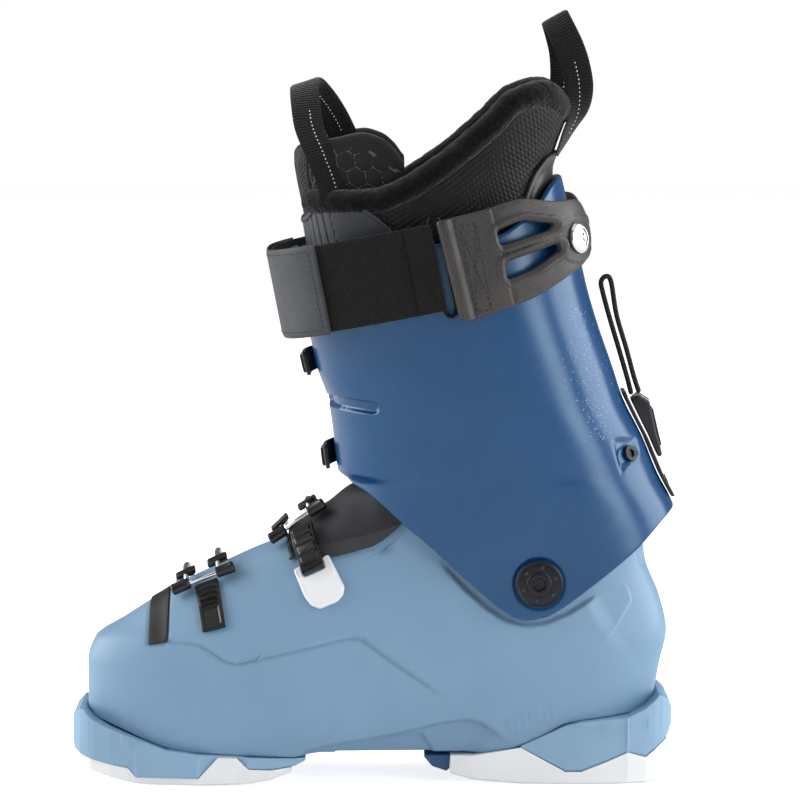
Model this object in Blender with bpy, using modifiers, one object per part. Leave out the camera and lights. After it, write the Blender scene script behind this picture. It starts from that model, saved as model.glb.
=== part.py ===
"""Alpine ski boot: a right boot, toe towards -X, medial side towards -Y, standing on Z = 0."""

import math

import bmesh
import bpy
import numpy as np
from mathutils import Vector
from mathutils.bvhtree import BVHTree

# Lengths below are in millimetres; everything is scaled to metres when a mesh is made.
MM = 0.001
GAP = 0.4

# Side profile of the lower shell: (height, x).
SHELL_FRONT = ((14, -141), (36, -142.5), (58, -142.5), (69, -139), (79, -124), (93, -101.5),
               (105, -77), (113, -60), (120, -43), (135, -19), (143, -8), (150, 8), (168, 22))
SHELL_REAR = ((14, 136), (39, 141), (56, 144), (73, 147.5), (90, 144), (105, 138), (125, 134),
              (140, 131), (168, 128))
# Half widths of the lower shell along its length (0 toe, 1 heel), low down and under the cuff.
MEDIAL_LOW = ((0, 39), (0.15, 44.5), (0.3, 47), (0.45, 44), (0.6, 41), (0.75, 40), (0.9, 39), (1, 37))
LATERAL_LOW = ((0, 39), (0.15, 48), (0.3, 53), (0.45, 51), (0.6, 45), (0.75, 41), (0.9, 39), (1, 37))
HIGH = ((0, 28), (0.15, 31), (0.3, 33.5), (0.5, 36), (0.75, 36), (0.9, 34), (1, 31))
WIDTH_BY_HEIGHT = ((14, 0.84), (24, 0.93), (36, 0.98), (50, 1.0), (70, 0.98), (90, 0.95), (110, 0.97),
                   (168, 1.0))
SHELL_BLUNTNESS = 2.8
SHELL_WALL = 4.0
# Seam between the shell and its sole plates: (x, height).
SEAM = ((-145, 32), (-141, 31.5), (-125, 26.5), (-110, 20.5), (-95, 16), (-75, 15), (-33, 14), (38, 14),
        (50, 14), (72, 18.5), (85, 24), (97, 30), (118, 32.5), (130, 34), (141, 39), (150, 41))
# Top edge of the lower shell: (x, height).
SHELL_HEM = ((-60, 113), (-43, 119), (-20, 121), (0, 126), (21, 134), (45, 152), (60, 158), (105, 158),
             (125, 148), (140, 144))

# Side profile of the cuff: (height, x), its half width by height, and its two edges (x, height).
CUFF_FRONT = ((84, -10), (127, -13), (149, -12), (154, -17), (178, -20), (190, -22), (204, -27),
              (217, -30), (267, -42), (300, -46))
CUFF_REAR = ((84, 172), (118, 158), (140, 149), (151, 143), (170, 135), (190, 125), (205, 120),
             (228, 112), (245, 107), (258, 104), (280, 99), (305, 93))
CUFF_HALF_WIDTH = ((84, 43.5), (101, 44), (130, 46), (170, 49), (210, 52), (260, 55), (305, 56))
CUFF_BLUNTNESS = 2.7
CUFF_WALL = 3.6
CUFF_HEM = ((-22, 151), (-10, 149), (20, 127.5), (50, 101), (66, 88), (75, 84), (85, 85.5), (92, 89),
            (110, 102), (130, 118), (149, 136), (160, 141))
CUFF_RIM = ((-50, 262), (-20, 264), (30, 268), (61, 272), (80, 284), (93, 299), (104, 303))
PIVOT = (82.5, 101.5)

LEAN = math.radians(15)
PIVOT_LIFT = 6.6
HOOK_LIFT = 5.4
# Instep flap: lower and upper edges (x, height) and its reach round from the front.
FLAP_LOW = ((-60, 112), (-24, 113.5), (0, 119), (15, 123), (30, 130))
FLAP_TOP = ((-20, 163), (10, 163), (25, 150), (40, 142))
FLAP_REACH = 1.25
# Leg part of the liner: front and rear profiles, half width, rim, and the height it starts at.
LINER_FRONT = ((172, -10), (217, -20), (267, -32), (290, -36), (345, -42))
LINER_REAR = ((172, 126), (190, 116), (205, 111), (228, 103), (258, 95), (280, 90), (303, 87.5),
              (315, 91), (335, 97), (345, 97))
LINER_HALF_WIDTH = ((172, 41), (210, 44), (260, 46.5), (300, 47), (345, 46))
LINER_RIM = ((-30, 288), (0, 289), (15, 294), (30, 303), (45, 314), (60, 327), (72, 338), (88, 343),
             (99, 336))
LINER_SPLIT = 172.0
TONGUE_FRONT = ((190, -12), (217, -20.5), (264, -32), (285, -36), (300, -38.5), (312, -40), (322, -36))

# Sole pieces: (x, low, high, medial half width, lateral half width).
TOE_PLATE = ((-149.5, 19, 30.2, 13, 13), (-148.6, 16, 32.7, 20, 20), (-145.5, 14, 35.5, 26, 26),
             (-143.4, 13, 35.8, 28, 28), (-143.2, 13, 30.3, 28.2, 28.2), (-140, 11.8, 30, 30.5, 30.5),
             (-130, 9.5, 26.4, 34, 34), (-121, 8, 23.2, 35.5, 36), (-117, 3.4, 21.8, 36, 37),
             (-102, 3.4, 16.4, 38, 41), (-86, 3.4, 14.5, 40, 45), (-79, 10, 14, 41, 46.5),
             (-62, 9, 13.4, 42, 47), (-50, 8, 13, 41, 46), (-38, 9.5, 12.7, 38, 42),
             (-33, 12, 12.7, 36, 39))
TOE_GRIP = ((-148.3, 11, 15.0, 18, 18), (-145.5, 8.5, 13.4, 24, 24), (-140, 6, 11.3, 29, 29),
            (-130, 3, 9.0, 33, 33), (-121, 1.2, 7.5, 35, 35.5), (-117, 0.6, 3.0, 35.5, 36.5),
            (-112, 0, 3.0, 36, 37.5), (-86, 0, 3.0, 40, 45), (-79, 0.2, 9.4, 41, 46.5),
            (-62, 1.2, 8.4, 42, 47), (-50, 3, 7.4, 41, 46), (-40, 6.5, 8.6, 38, 42))
HEEL_PLATE = ((74, 18, 18.2, 34.5, 34.5), (96, 6, 28.3, 35.5, 35.5), (104, 6, 30.2, 35.5, 35.5),
              (118, 11.6, 31.4, 35, 35), (127, 15.5, 32.3, 34, 34), (136, 12.6, 35.5, 31, 31),
              (141, 16.5, 37.9, 28.5, 28.5), (144.4, 19.5, 38.8, 26, 26), (144.6, 19.6, 41.9, 26, 26),
              (147.5, 22.5, 39.7, 21, 21), (149.6, 27, 35.3, 14, 14))
HEEL_GRIP = ((39, 5, 13.6, 33, 33), (50, 2, 13.6, 34, 34), (62, 1, 15.6, 34.5, 34.5),
             (74, 0, 17.6, 34.5, 34.5), (96, 0, 5.6, 35.5, 35.5), (104, 0, 5.6, 35.5, 35.5),
             (118, 0, 11.2, 35, 35), (127, 0, 15.1, 34, 34), (136, 0, 12.2, 31, 31),
             (141, 0.5, 16.1, 28.5, 28.5), (145.5, 4, 19.6, 24, 24), (147, 10, 20.6, 21, 21))
ARCH_BUMPER = ((26, 12.6, 13.6, 30, 30), (30, 8, 13.6, 30, 30), (37, 5.6, 13.6, 30, 30),
               (38.6, 7, 13.6, 30, 30))
BOARD = ((-100, 24, 28.5, 20, 22), (-80, 21, 27, 28, 31), (-40, 19.5, 27, 31, 37), (40, 19.5, 28, 27, 27),
         (72, 24, 30.5, 25, 25))
SOLE_SCREWS = (("toe_sole_screw_medial", -132, -15), ("toe_sole_screw_lateral", -132, 15),
               ("heel_sole_screw_medial", 122, -15), ("heel_sole_screw_lateral", 122, 15))

# Power strap: its ring is a blunt oval in a plane tilted back, with the strap's height across it.
STRAP_CENTRE = (31, 0, 258)
STRAP_HALF_LENGTH = 77
STRAP_BLUNTNESS = 3.1
STRAP_HALF_WIDTH = 58
WEBBING_HALF = 21.5
YOKE_OUTLINE = ((34, 279), (45, 232), (62, 237), (80, 243.5), (95, 253), (105, 260), (108, 270),
                (105, 281), (99, 291), (88, 291), (70, 292.5), (55, 286))
YOKE_HOLES = (((60, 276), (72, 281), (88, 279), (86, 276), (62, 268.5)),
              ((64, 260.5), (90, 269.5), (91, 266), (78, 257), (65, 252)))
# Walk-mode lever and plate: outlines (x, height) seen from the side.
LEVER_OUTLINE = ((129.1, 188.5), (134.8, 177), (138.8, 169), (142.5, 160.5), (144.8, 161), (143.8, 166),
                 (141.8, 172), (138.6, 187.5), (132.5, 191.3))
LEVER_PIVOT = (143.4, 162.5)
LEVER_CORD = ((129.4, 192.0), (127.3, 200), (123.2, 214), (118.4, 230), (114.9, 243), (114.3, 247.5),
              (116.6, 250), (119.2, 247.5), (122, 231), (127, 214), (130.8, 200), (133.2, 192.8))
FRONT_LOOP = ((-20, -30, 294), (-29, -28, 315), (-35.5, -20, 336), (-36, -10, 346), (-32, 2, 348.5),
              (-25, 14, 343), (-17, 22, 333), (-12, 26, 325))
REAR_LOOP = ((97, -9, 313), (102, -9, 323), (106.5, -9, 340), (105.5, -7, 360), (99, -3.5, 377),
             (92.5, 0, 381.5), (88, 3.5, 374), (87, 7, 358), (88, 9, 345))
LOOP_WIDTH = 14
LOOP_THICKNESS = 1.5
STRAP_TILT = math.radians(11)
# Lateral shift that centres the bounding box on the midline.
CENTRE_Y = -0.4


def clear_scene():
    for obj in list(bpy.data.objects):
        bpy.data.objects.remove(obj, do_unlink=True)


def new_collection(name):
    collection = bpy.data.collections.new(name)
    bpy.context.scene.collection.children.link(collection)
    return collection


def material(name, colour, roughness, metallic=0.0):
    """A Principled material; the colour is given as sRGB values out of 255."""
    mat = bpy.data.materials.new(name)
    mat.use_nodes = True
    shader = mat.node_tree.nodes["Principled BSDF"]
    linear = [(c / 255.0) ** 2.2 for c in colour]
    shader.inputs["Base Color"].default_value = (*linear, 1.0)
    shader.inputs["Roughness"].default_value = roughness
    shader.inputs["Metallic"].default_value = metallic
    mat.diffuse_color = (*linear, 1.0)
    return mat


def along(value, table):
    """Smooth value of a table at a place, level beyond its ends."""
    if value <= table[0][0]:
        return float(table[0][1])
    if value >= table[-1][0]:
        return float(table[-1][1])
    xs = [p[0] for p in table]
    ys = [p[1] for p in table]
    i = max(k for k in range(len(xs) - 1) if xs[k] <= value)
    slopes = [(ys[k + 1] - ys[k]) / (xs[k + 1] - xs[k]) for k in range(len(xs) - 1)]

    def tangent(k):
        if k == 0 or k == len(xs) - 1:
            return slopes[0] if k == 0 else slopes[-1]
        if slopes[k - 1] * slopes[k] <= 0:
            return 0.0
        return 2 * slopes[k - 1] * slopes[k] / (slopes[k - 1] + slopes[k])

    h = xs[i + 1] - xs[i]
    t = (value - xs[i]) / h
    return ((2 * t**3 - 3 * t**2 + 1) * ys[i] + (t**3 - 2 * t**2 + t) * h * tangent(i)
            + (-2 * t**3 + 3 * t**2) * ys[i + 1] + (t**3 - t**2) * h * tangent(i + 1))


def obj_from_mesh(name, verts, faces, mat):
    """An object from points in millimetres, with its faces turned outwards."""
    mesh = bpy.data.meshes.new(name)
    mesh.from_pydata([Vector((x, y + CENTRE_Y, z)) * MM for x, y, z in verts], [], faces)
    bm = bmesh.new()
    bm.from_mesh(mesh)
    bmesh.ops.remove_doubles(bm, verts=bm.verts, dist=1e-7)
    bmesh.ops.recalc_face_normals(bm, faces=bm.faces)
    bm.to_mesh(mesh)
    bm.free()
    mesh.materials.append(mat)
    obj = bpy.data.objects.new(name, mesh)
    BOOT.objects.link(obj)
    return obj


def around(t, bluntness):
    """Share along the length and share of the full width of a blunt oval, by its angle from the front."""
    c = math.cos(t)
    s = abs(math.sin(t))
    return 0.5 * (1 - math.copysign(abs(c) ** (2 / bluntness), c)), s ** (2 / bluntness)


def shell_point(t, z, inset=0.0, drop=0.0):
    """A point of the lower shell's outside at angle t (medial side below pi) and height z."""
    front = along(z + drop, SHELL_FRONT) + inset
    rear = along(z, SHELL_REAR) - inset
    share, width = around(t, SHELL_BLUNTNESS)
    side = -1 if math.sin(t) >= 0 else 1
    low = along(share, MEDIAL_LOW if side < 0 else LATERAL_LOW)
    high = along(share, HIGH)
    lift = min(max((z - 62) / 56, 0), 1)
    lift = lift * lift * (3 - 2 * lift)
    half = (low * (1 - lift) + high * lift) * along(z, WIDTH_BY_HEIGHT) - inset
    return front + (rear - front) * share, side * half * width, z


def cuff_point(t, z, inset=0.0):
    """A point of the cuff's outside at angle t and height z."""
    front = along(z, CUFF_FRONT) + inset
    rear = along(z, CUFF_REAR) - inset
    share, width = around(t, CUFF_BLUNTNESS)
    side = -1 if math.sin(t) >= 0 else 1
    half = along(z, CUFF_HALF_WIDTH) - inset
    return front + (rear - front) * share, side * half * width, z


def edge_height(point, t, table, start):
    """Height at which the outline at angle t meets an edge given as (x, height)."""
    z = start
    for _ in range(40):
        z = 0.6 * z + 0.4 * along(point(t, z)[0], table)
    return z


def wall(name, point, angles, low, high, rows, thickness, mat, closed_floor=False):
    """A lofted wall between two edges, given its thickness inwards; closed_floor adds a bottom."""
    ring = len(angles)
    whole = abs(angles[-1] - angles[0]) > 2 * math.pi - 0.5 and closed_floor
    outer = np.empty((rows + 1, ring, 3))
    for row in range(rows + 1):
        for i, t in enumerate(angles):
            bottom = low(t)
            outer[row, i] = point(t, bottom + (high(t) - bottom) * row / rows)
    inner = outer - thickness * outward_normals(outer, whole)
    if closed_floor:
        inner[0, :, 2] = outer[0, :, 2] + thickness
    verts = [tuple(v) for v in outer.reshape(-1, 3)] + [tuple(v) for v in inner.reshape(-1, 3)]
    layer = (rows + 1) * ring
    faces = []

    def both(quad):
        quad = [v for k, v in enumerate(quad) if v not in quad[:k]]
        faces.append(tuple(quad))
        faces.append(tuple(v + layer for v in reversed(quad)))

    def edge(a, b):
        faces.append((a, b, b + layer, a + layer))

    spans = ring if whole else ring - 1
    for i in range(spans):
        j = (i + 1) % ring
        for row in range(rows):
            both([row * ring + i, row * ring + j, (row + 1) * ring + j, (row + 1) * ring + i])
        edge(rows * ring + i, rows * ring + j)
        if not closed_floor:
            edge(j, i)
    if closed_floor:
        for i in range(ring // 2):
            both([i, i + 1, (ring - i - 1) % ring, (ring - i) % ring])
    if not whole:
        for row in range(rows):
            edge(row * ring, (row + 1) * ring)
            edge((row + 1) * ring + ring - 1, row * ring + ring - 1)
    return obj_from_mesh(name, verts, faces, mat)


def outward_normals(grid, whole):
    """Unit normals of a grid of points, rows upwards and columns from the front by the medial side."""
    if whole:
        around_step = np.roll(grid, -1, axis=1) - np.roll(grid, 1, axis=1)
    else:
        around_step = np.gradient(grid, axis=1)
    normals = np.cross(around_step, np.gradient(grid, axis=0))
    return normals / np.linalg.norm(normals, axis=2, keepdims=True)


def slab(name, stations, mat, bevel=0.0):
    """A solid lofted along X from stations (x, low z, high z, medial half width, lateral half width)."""
    verts = []
    for x, low, high, medial, lateral in stations:
        verts += [(x, -medial, low), (x, lateral, low), (x, lateral, high), (x, -medial, high)]
    faces = [(3, 2, 1, 0)]
    for s in range(len(stations) - 1):
        for k in range(4):
            a, b = 4 * s + k, 4 * s + (k + 1) % 4
            faces.append((a, b, b + 4, a + 4))
    last = 4 * (len(stations) - 1)
    faces.append((last, last + 1, last + 2, last + 3))
    obj = obj_from_mesh(name, verts, faces, mat)
    if bevel:
        rounding = obj.modifiers.new("Edges", "BEVEL")
        rounding.width = bevel * MM
        rounding.segments = 1
        rounding.limit_method = "ANGLE"
        rounding.angle_limit = math.radians(50)
    return obj


def ring_angles(count):
    """Angles of a whole outline, crowded a little at the front and the rear."""
    return [2 * math.pi * i / count for i in range(count)]


def shell_hem(t):
    return edge_height(shell_point, t, SHELL_HEM, 130)


def shell_seam(t):
    return edge_height(shell_point, t, SEAM, 24)


def make_lower_shell():
    return wall("lower_shell", shell_point, ring_angles(48), shell_seam, shell_hem, 15, SHELL_WALL,
                LIGHT_BLUE, closed_floor=True)


def make_instep_flap():
    def point(t, z):
        return shell_point(t, z, inset=-2.6, drop=-2.4)

    def low(t):
        return edge_height(point, t, FLAP_LOW, 122)

    def high(t):
        return edge_height(point, t, FLAP_TOP, 150)

    angles = [FLAP_REACH * (i / 14 - 1) for i in range(29)]
    return wall("instep_flap", point, angles, low, high, 6, 2.0, CHARCOAL)


def make_liner_foot():
    def point(t, z):
        return shell_point(t, z, inset=9, drop=8)

    def low(t):
        return max(31.5, edge_height(point, t, SEAM, 40) + 9)

    return wall("liner_foot", point, ring_angles(32), low, lambda t: shell_hem(t) - 3, 8, 4.0, FELT,
                closed_floor=True)


def make_cuff():
    def point(t, z):
        tuck = min(max((t - 2 * math.pi + 0.7) / 0.4, 0), 1)
        return cuff_point(t, z, inset=4.6 * tuck * tuck * (3 - 2 * tuck))

    def low(t):
        return edge_height(point, t, CUFF_HEM, 120)

    def high(t):
        return edge_height(point, t, CUFF_RIM, 270)

    start, end = -0.25, 2 * math.pi + 0.1
    angles = [start + (end - start) * i / 53 for i in range(54)]
    return wall("cuff", point, angles, low, high, 14, CUFF_WALL, DEEP_BLUE)


def tube_point(t, z, front_table, rear_table, half_table):
    share, width = around(t, CUFF_BLUNTNESS)
    side = -1 if math.sin(t) >= 0 else 1
    front = along(z, front_table)
    return (front + (along(z, rear_table) - front) * share, side * along(z, half_table) * width, z)


def make_liner_upper():
    def point(t, z):
        return tube_point(t, z, LINER_FRONT, LINER_REAR, LINER_HALF_WIDTH)

    def high(t):
        return edge_height(point, t, LINER_RIM, 300)

    angles = [0.5 + (2 * math.pi - 1.0) * i / 34 for i in range(35)]
    return wall("liner_upper", point, angles, lambda t: LINER_SPLIT, high, 10, 7.0, PLUSH)


def make_tongue():
    def point(t, z):
        return tube_point(t, z, TONGUE_FRONT, LINER_REAR, LINER_HALF_WIDTH)

    angles = [0.42 * (i / 6 - 1) for i in range(13)]
    return wall("liner_tongue", point, angles, lambda t: 190.0, lambda t: 322 - 14 * abs(t), 10, 6.0,
                PLUSH)


def make_soles():
    slab("toe_sole_plate", TOE_PLATE, LIGHT_BLUE, bevel=0.8)
    slab("toe_sole_grip", TOE_GRIP, WHITE_RUBBER, bevel=0.6)
    slab("heel_sole_plate", HEEL_PLATE, LIGHT_BLUE, bevel=0.8)
    slab("heel_sole_grip", HEEL_GRIP, WHITE_RUBBER, bevel=0.6)
    slab("arch_bumper", ARCH_BUMPER, NAVY, bevel=0.5)
    slab("boot_board", BOARD, FELT)


def prism(name, outline, near, far, mat):
    """A solid from an (x, z) outline, run from y = near to y = far."""
    count = len(outline)
    verts = [(x, y, z) for y in (near, far) for x, z in outline]
    faces = [tuple(range(count)), tuple(range(2 * count - 1, count - 1, -1))]
    faces += [(i, (i + 1) % count, (i + 1) % count + count, i + count) for i in range(count)]
    return obj_from_mesh(name, verts, faces, mat)


def disc(name, centre, normal, radius, height, mat, sides=24, bevel=0.6):
    """A short round piece whose back is at a centre and whose face looks along a normal."""
    normal = Vector(normal).normalized()
    one = normal.orthogonal().normalized()
    two = normal.cross(one)
    verts = []
    for lift, r in ((0, radius), (height - bevel, radius), (height, radius - bevel)):
        for i in range(sides):
            angle = 2 * math.pi * i / sides
            verts.append(Vector(centre) + normal * lift + (one * math.cos(angle) + two * math.sin(angle)) * r)
    faces = [tuple(range(sides)), tuple(range(3 * sides - 1, 2 * sides - 1, -1))]
    for ring in range(2):
        for i in range(sides):
            j = (i + 1) % sides
            faces.append((ring * sides + i, ring * sides + j, (ring + 1) * sides + j, (ring + 1) * sides + i))
    return obj_from_mesh(name, verts, faces, mat)


def wire(name, points, radii, mat, cyclic=False, origin=None):
    """A round wire through points, with a radius at each."""
    curve = bpy.data.curves.new(name, "CURVE")
    curve.dimensions = "3D"
    curve.bevel_depth = MM
    curve.bevel_resolution = 2
    curve.use_fill_caps = True
    spline = curve.splines.new("POLY")
    spline.points.add(len(points) - 1)
    base = Vector(origin) if origin else Vector((0, -CENTRE_Y, 0))
    for place, (x, y, z), radius in zip(spline.points, points, radii):
        place.co = (*((Vector((x, y, z)) - base) * MM), 1)
        place.radius = radius
    spline.use_cyclic_u = cyclic
    curve.materials.append(mat)
    obj = bpy.data.objects.new(name, curve)
    if origin:
        obj.location = Vector((base.x, base.y + CENTRE_Y, base.z)) * MM
    BOOT.objects.link(obj)
    return obj


def set_origin(obj, place):
    """Moves a mesh object's origin to a place, leaving its shape where it is."""
    shift = Vector((place[0], place[1] + CENTRE_Y, place[2])) * MM
    for vert in obj.data.vertices:
        vert.co -= shift
    obj.location = shift


class Wrap:
    """Places on the outside of a body, by angle round a centre, offset along the wrap's axis and lift."""

    def __init__(self, bodies, centre, up, axis):
        graph = bpy.context.evaluated_depsgraph_get()
        self.trees = [BVHTree.FromObject(body, graph) for body in bodies]
        self.centre = Vector(centre)
        self.up = Vector(up)
        self.axis = Vector(axis)

    def direction(self, angle):
        turn = math.radians(angle)
        return Vector((0, 1, 0)) * math.sin(turn) + self.up * math.cos(turn)

    def at(self, angle, offset, lift):
        heading = self.direction(angle)
        foot = self.centre + self.axis * offset + Vector((0, CENTRE_Y, 0))
        start = foot + heading * 200
        hits = [tree.ray_cast(start * MM, -heading)[0] for tree in self.trees]
        outermost = min((hit / MM - start).length for hit in hits if hit)
        return start + heading * (lift - outermost) - Vector((0, CENTRE_Y, 0))


def strip(name, wrap, angles, section, mat, teeth=0.0, drift=0.0):
    """A solid laid on a wrap: a closed section of (offset, lift) points carried through the angles.

    Drift is how far the section moves along the wrap's axis for each degree before the last angle."""
    verts = []
    for row, angle in enumerate(angles):
        extra = teeth if row % 2 else 0.0
        top = max(lift for _, lift in section)
        for offset, lift in section:
            place = offset + drift * (angle - angles[-1])
            verts.append(wrap.at(angle, place, lift + (extra if lift == top else 0)))
    size = len(section)
    faces = [tuple(range(size - 1, -1, -1)), tuple(range((len(angles) - 1) * size, len(angles) * size))]
    for row in range(len(angles) - 1):
        for k in range(size):
            a, b = row * size + k, row * size + (k + 1) % size
            faces.append((a, b, b + size, a + size))
    return obj_from_mesh(name, verts, faces, mat)


def flat_section(half, low, high, middle=0.0):
    near, far = middle - half, middle + half
    return ((near, low), (far, low), (far, high), (near, high))


def spread(start, end, count):
    return [start + (end - start) * i / (count - 1) for i in range(count)]


def make_buckle(name, wrap, ladder, hook, pivot, lever_end, ladder_lift=0.4, base_lift=1.8,
                hook_reach=16, ladder_middle=0.0, ladder_drift=0.0):
    """A base, a lever, a bail with its rod, and a toothed ladder."""
    section = flat_section(6, ladder_lift, ladder_lift + 1.9, ladder_middle)
    strip(name + "_ladder", wrap, spread(*ladder, 14), section, BLACK_GLOSS, teeth=1.2, drift=ladder_drift)
    floor = base_lift + 1.3
    channel = ((-11.8, base_lift), (11.8, base_lift), (11.8, 8.7), (10, 8.7), (10, floor), (-10, floor),
               (-10, 8.7), (-11.8, 8.7))
    strip(name + "_base", wrap, spread(pivot - 6, pivot + 14, 5), channel, BLACK_GLOSS)
    hinge = wrap.at(pivot, 0, PIVOT_LIFT)
    lever = strip(name + "_lever", wrap, spread(pivot + 3.5, lever_end, 9),
                  flat_section(8.5, PIVOT_LIFT - 1.5, PIVOT_LIFT + 1.3), SILVER)
    set_origin(lever, hinge)
    half = 8.5
    one_side = [(hook, hook_reach, HOOK_LIFT, 2.6), (hook, half, HOOK_LIFT, 2.6)]
    one_side += [(angle, half, 6.6, 1.3) for angle in spread(hook + 6, pivot - 5, 6)]
    # The bail's end bar lies straight on the lever's pivot line.
    far = [wrap.at(pivot, 0, PIVOT_LIFT) + wrap.axis * side * half for side in (1, -1)]
    points = [wrap.at(angle, offset, lift) for angle, offset, lift, _ in one_side]
    points += far
    points += [wrap.at(angle, -offset, lift) for angle, offset, lift, _ in reversed(one_side)]
    radii = [r for *_, r in one_side] + [1.3, 1.3] + [r for *_, r in reversed(one_side)]
    wire(name + "_bail", points, radii, BLACK_GLOSS, origin=tuple(hinge))
    ends = [wrap.at(hook, side * 5.5, HOOK_LIFT) for side in (-1, 1)]
    wire(name + "_rod", ends, [1.2, 1.2], CHROME)


def make_buckles(shell, flap, cuff):
    def over(tilt):
        turn = math.radians(tilt)
        return (-math.sin(turn), 0, math.cos(turn)), (math.cos(turn), 0, math.sin(turn))

    toe = Wrap([shell], (-74, 0, 55), *over(12))
    make_buckle("toe_buckle", toe, (-59, -29), -25, 42, 96, ladder_middle=1.0)
    flap_and_shell = Wrap([shell, flap], (-10, 0, 80), *over(29))
    make_buckle("instep_buckle", flap_and_shell, (-47, -22), -17, 45, 98, ladder_lift=3.6,
                base_lift=2.9, ladder_middle=1.0, ladder_drift=0.18)
    strip("instep_keeper", flap_and_shell, spread(-71, -44, 13), flat_section(10.4, 0.7, 2.7, -2.0),
          WHITE)
    front = (-math.cos(LEAN), 0, -math.sin(LEAN))
    leg = (-math.sin(LEAN), 0, math.cos(LEAN))
    make_buckle("lower_cuff_buckle", Wrap([cuff], (50, 0, 180), front, leg), (-8, 16), 22, 58, 98,
                ladder_lift=4.0)
    make_buckle("upper_cuff_buckle", Wrap([cuff], (38, 0, 226), front, leg), (-8, 16), 22, 58, 86,
                ladder_lift=4.0, hook_reach=12)
    band = Wrap([shell], (-106, 0, 45), (0, 0, 1), (1, 0, 0))
    strip("toe_band", band, spread(-53, 53, 19), flat_section(4.8, 0.7, 1.5), BLACK_GLOSS)


def belt_point(t, height, lift):
    """A place on the power strap's ring: angle from the front, height across the strap, lift outwards."""
    share, width = around(t, STRAP_BLUNTNESS)
    side = -1 if math.sin(t) >= 0 else 1
    length = (2 * share - 1) * (STRAP_HALF_LENGTH + lift)
    x = STRAP_CENTRE[0] + length * math.cos(STRAP_TILT) - height * math.sin(STRAP_TILT)
    z = STRAP_CENTRE[2] + length * math.sin(STRAP_TILT) + height * math.cos(STRAP_TILT)
    return Vector((x, side * (STRAP_HALF_WIDTH + lift) * width, z))


def belt_angle(x):
    """Angle from the front at which the strap's ring is at a given x, on its middle line."""
    q = (x - STRAP_CENTRE[0]) / (STRAP_HALF_LENGTH * math.cos(STRAP_TILT))
    return math.acos(-math.copysign(abs(q) ** (STRAP_BLUNTNESS / 2), q))


def belt_normal(t):
    ahead = belt_point(t + 0.01, 0, 0) - belt_point(t - 0.01, 0, 0)
    return ahead.cross(belt_point(t, 1, 0) - belt_point(t, -1, 0)).normalized()


def belt_piece(name, angles, half, low, high, mat):
    """A band of the strap's ring between two lifts."""
    verts = []
    for t in angles:
        for height, lift in ((-half, low), (half, low), (half, high), (-half, high)):
            verts.append(belt_point(t, height, lift))
    faces = [(3, 2, 1, 0), tuple(range(4 * len(angles) - 4, 4 * len(angles)))]
    for row in range(len(angles) - 1):
        for k in range(4):
            a, b = 4 * row + k, 4 * row + (k + 1) % 4
            faces.append((a, b, b + 4, a + 4))
    return obj_from_mesh(name, verts, faces, mat)


def boolean(obj, other, operation):
    step = obj.modifiers.new(other.name, "BOOLEAN")
    step.operation = operation
    step.solver = "EXACT"
    step.object = other


def cutter(name, outline, near, far):
    obj = prism(name, outline, near, far, CHROME)
    BOOT.objects.unlink(obj)
    CUTTERS.objects.link(obj)
    obj.hide_render = True
    obj.display_type = "WIRE"
    return obj


def make_yoke(name, side):
    """A moulded yoke with two openings, on one side of the cuff."""
    angles = [belt_angle(x) for x in spread(22, 99, 12)] + spread(belt_angle(99) + 0.06, 2.98, 8)
    if side > 0:
        angles = [2 * math.pi - t for t in angles]
    yoke = belt_piece(name, angles, 42, 0, 2.6, YOKE_BLACK)
    ends = (-70, -8) if side < 0 else (8, 70)
    boolean(yoke, cutter(name + "_outline", YOKE_OUTLINE, *ends), "INTERSECT")
    for number, hole in enumerate(YOKE_HOLES):
        boolean(yoke, cutter(f"{name}_hole_{number}", hole, *ends), "DIFFERENCE")
    rivet_angle = belt_angle(99) if side < 0 else 2 * math.pi - belt_angle(99)
    disc(name.replace("yoke", "rivet"), belt_point(rivet_angle, 0, 4.2), belt_normal(rivet_angle), 7.5,
         2.4, CHROME)


def make_power_strap():
    sides = [belt_angle(x) for x in spread(30.6, -14, 7)]
    ends = [-t for t in reversed(sides)]
    angles = sides + spread(sides[-1] - 0.08, ends[0] + 0.08, 24) + ends
    belt_piece("strap_webbing", angles, WEBBING_HALF, 0.2, 1.9, WEBBING)
    panel = spread(belt_angle(-22), -0.62, 25)
    belt_piece("strap_front_panel", panel, WEBBING_HALF + 0.8, 2.3, 3.9, LEATHERETTE)
    for name, side in (("strap_yoke_medial", -1), ("strap_yoke_lateral", 1)):
        make_yoke(name, side)


def make_strap_ring():
    """The wire ring that the webbing and the medial yoke turn round."""
    points = []
    for x, heights in ((32.4, spread(-25, 25, 5)), (35.2, spread(25, -25, 5))):
        points += [belt_point(belt_angle(x), height, 1.0) for height in heights]
    wire("strap_ring", points, [1.0] * len(points), CHROME, cyclic=True)


def ribbon(name, points, across, width, thickness, mat):
    """Flat webbing through points, its width along one direction."""
    across = Vector(across).normalized()
    verts = []
    for i, place in enumerate(points):
        before = Vector(points[max(i - 1, 0)])
        after = Vector(points[min(i + 1, len(points) - 1)])
        tangent = (after - before).normalized()
        wide = (across - tangent * across.dot(tangent)).normalized()
        out = tangent.cross(wide)
        for w, o in ((-0.5, -0.5), (0.5, -0.5), (0.5, 0.5), (-0.5, 0.5)):
            verts.append(Vector(place) + wide * w * width + out * o * thickness)
    faces = [(3, 2, 1, 0), tuple(range(4 * len(points) - 4, 4 * len(points)))]
    for row in range(len(points) - 1):
        for k in range(4):
            a, b = 4 * row + k, 4 * row + (k + 1) % 4
            faces.append((a, b, b + 4, a + 4))
    return obj_from_mesh(name, verts, faces, mat)


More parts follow.
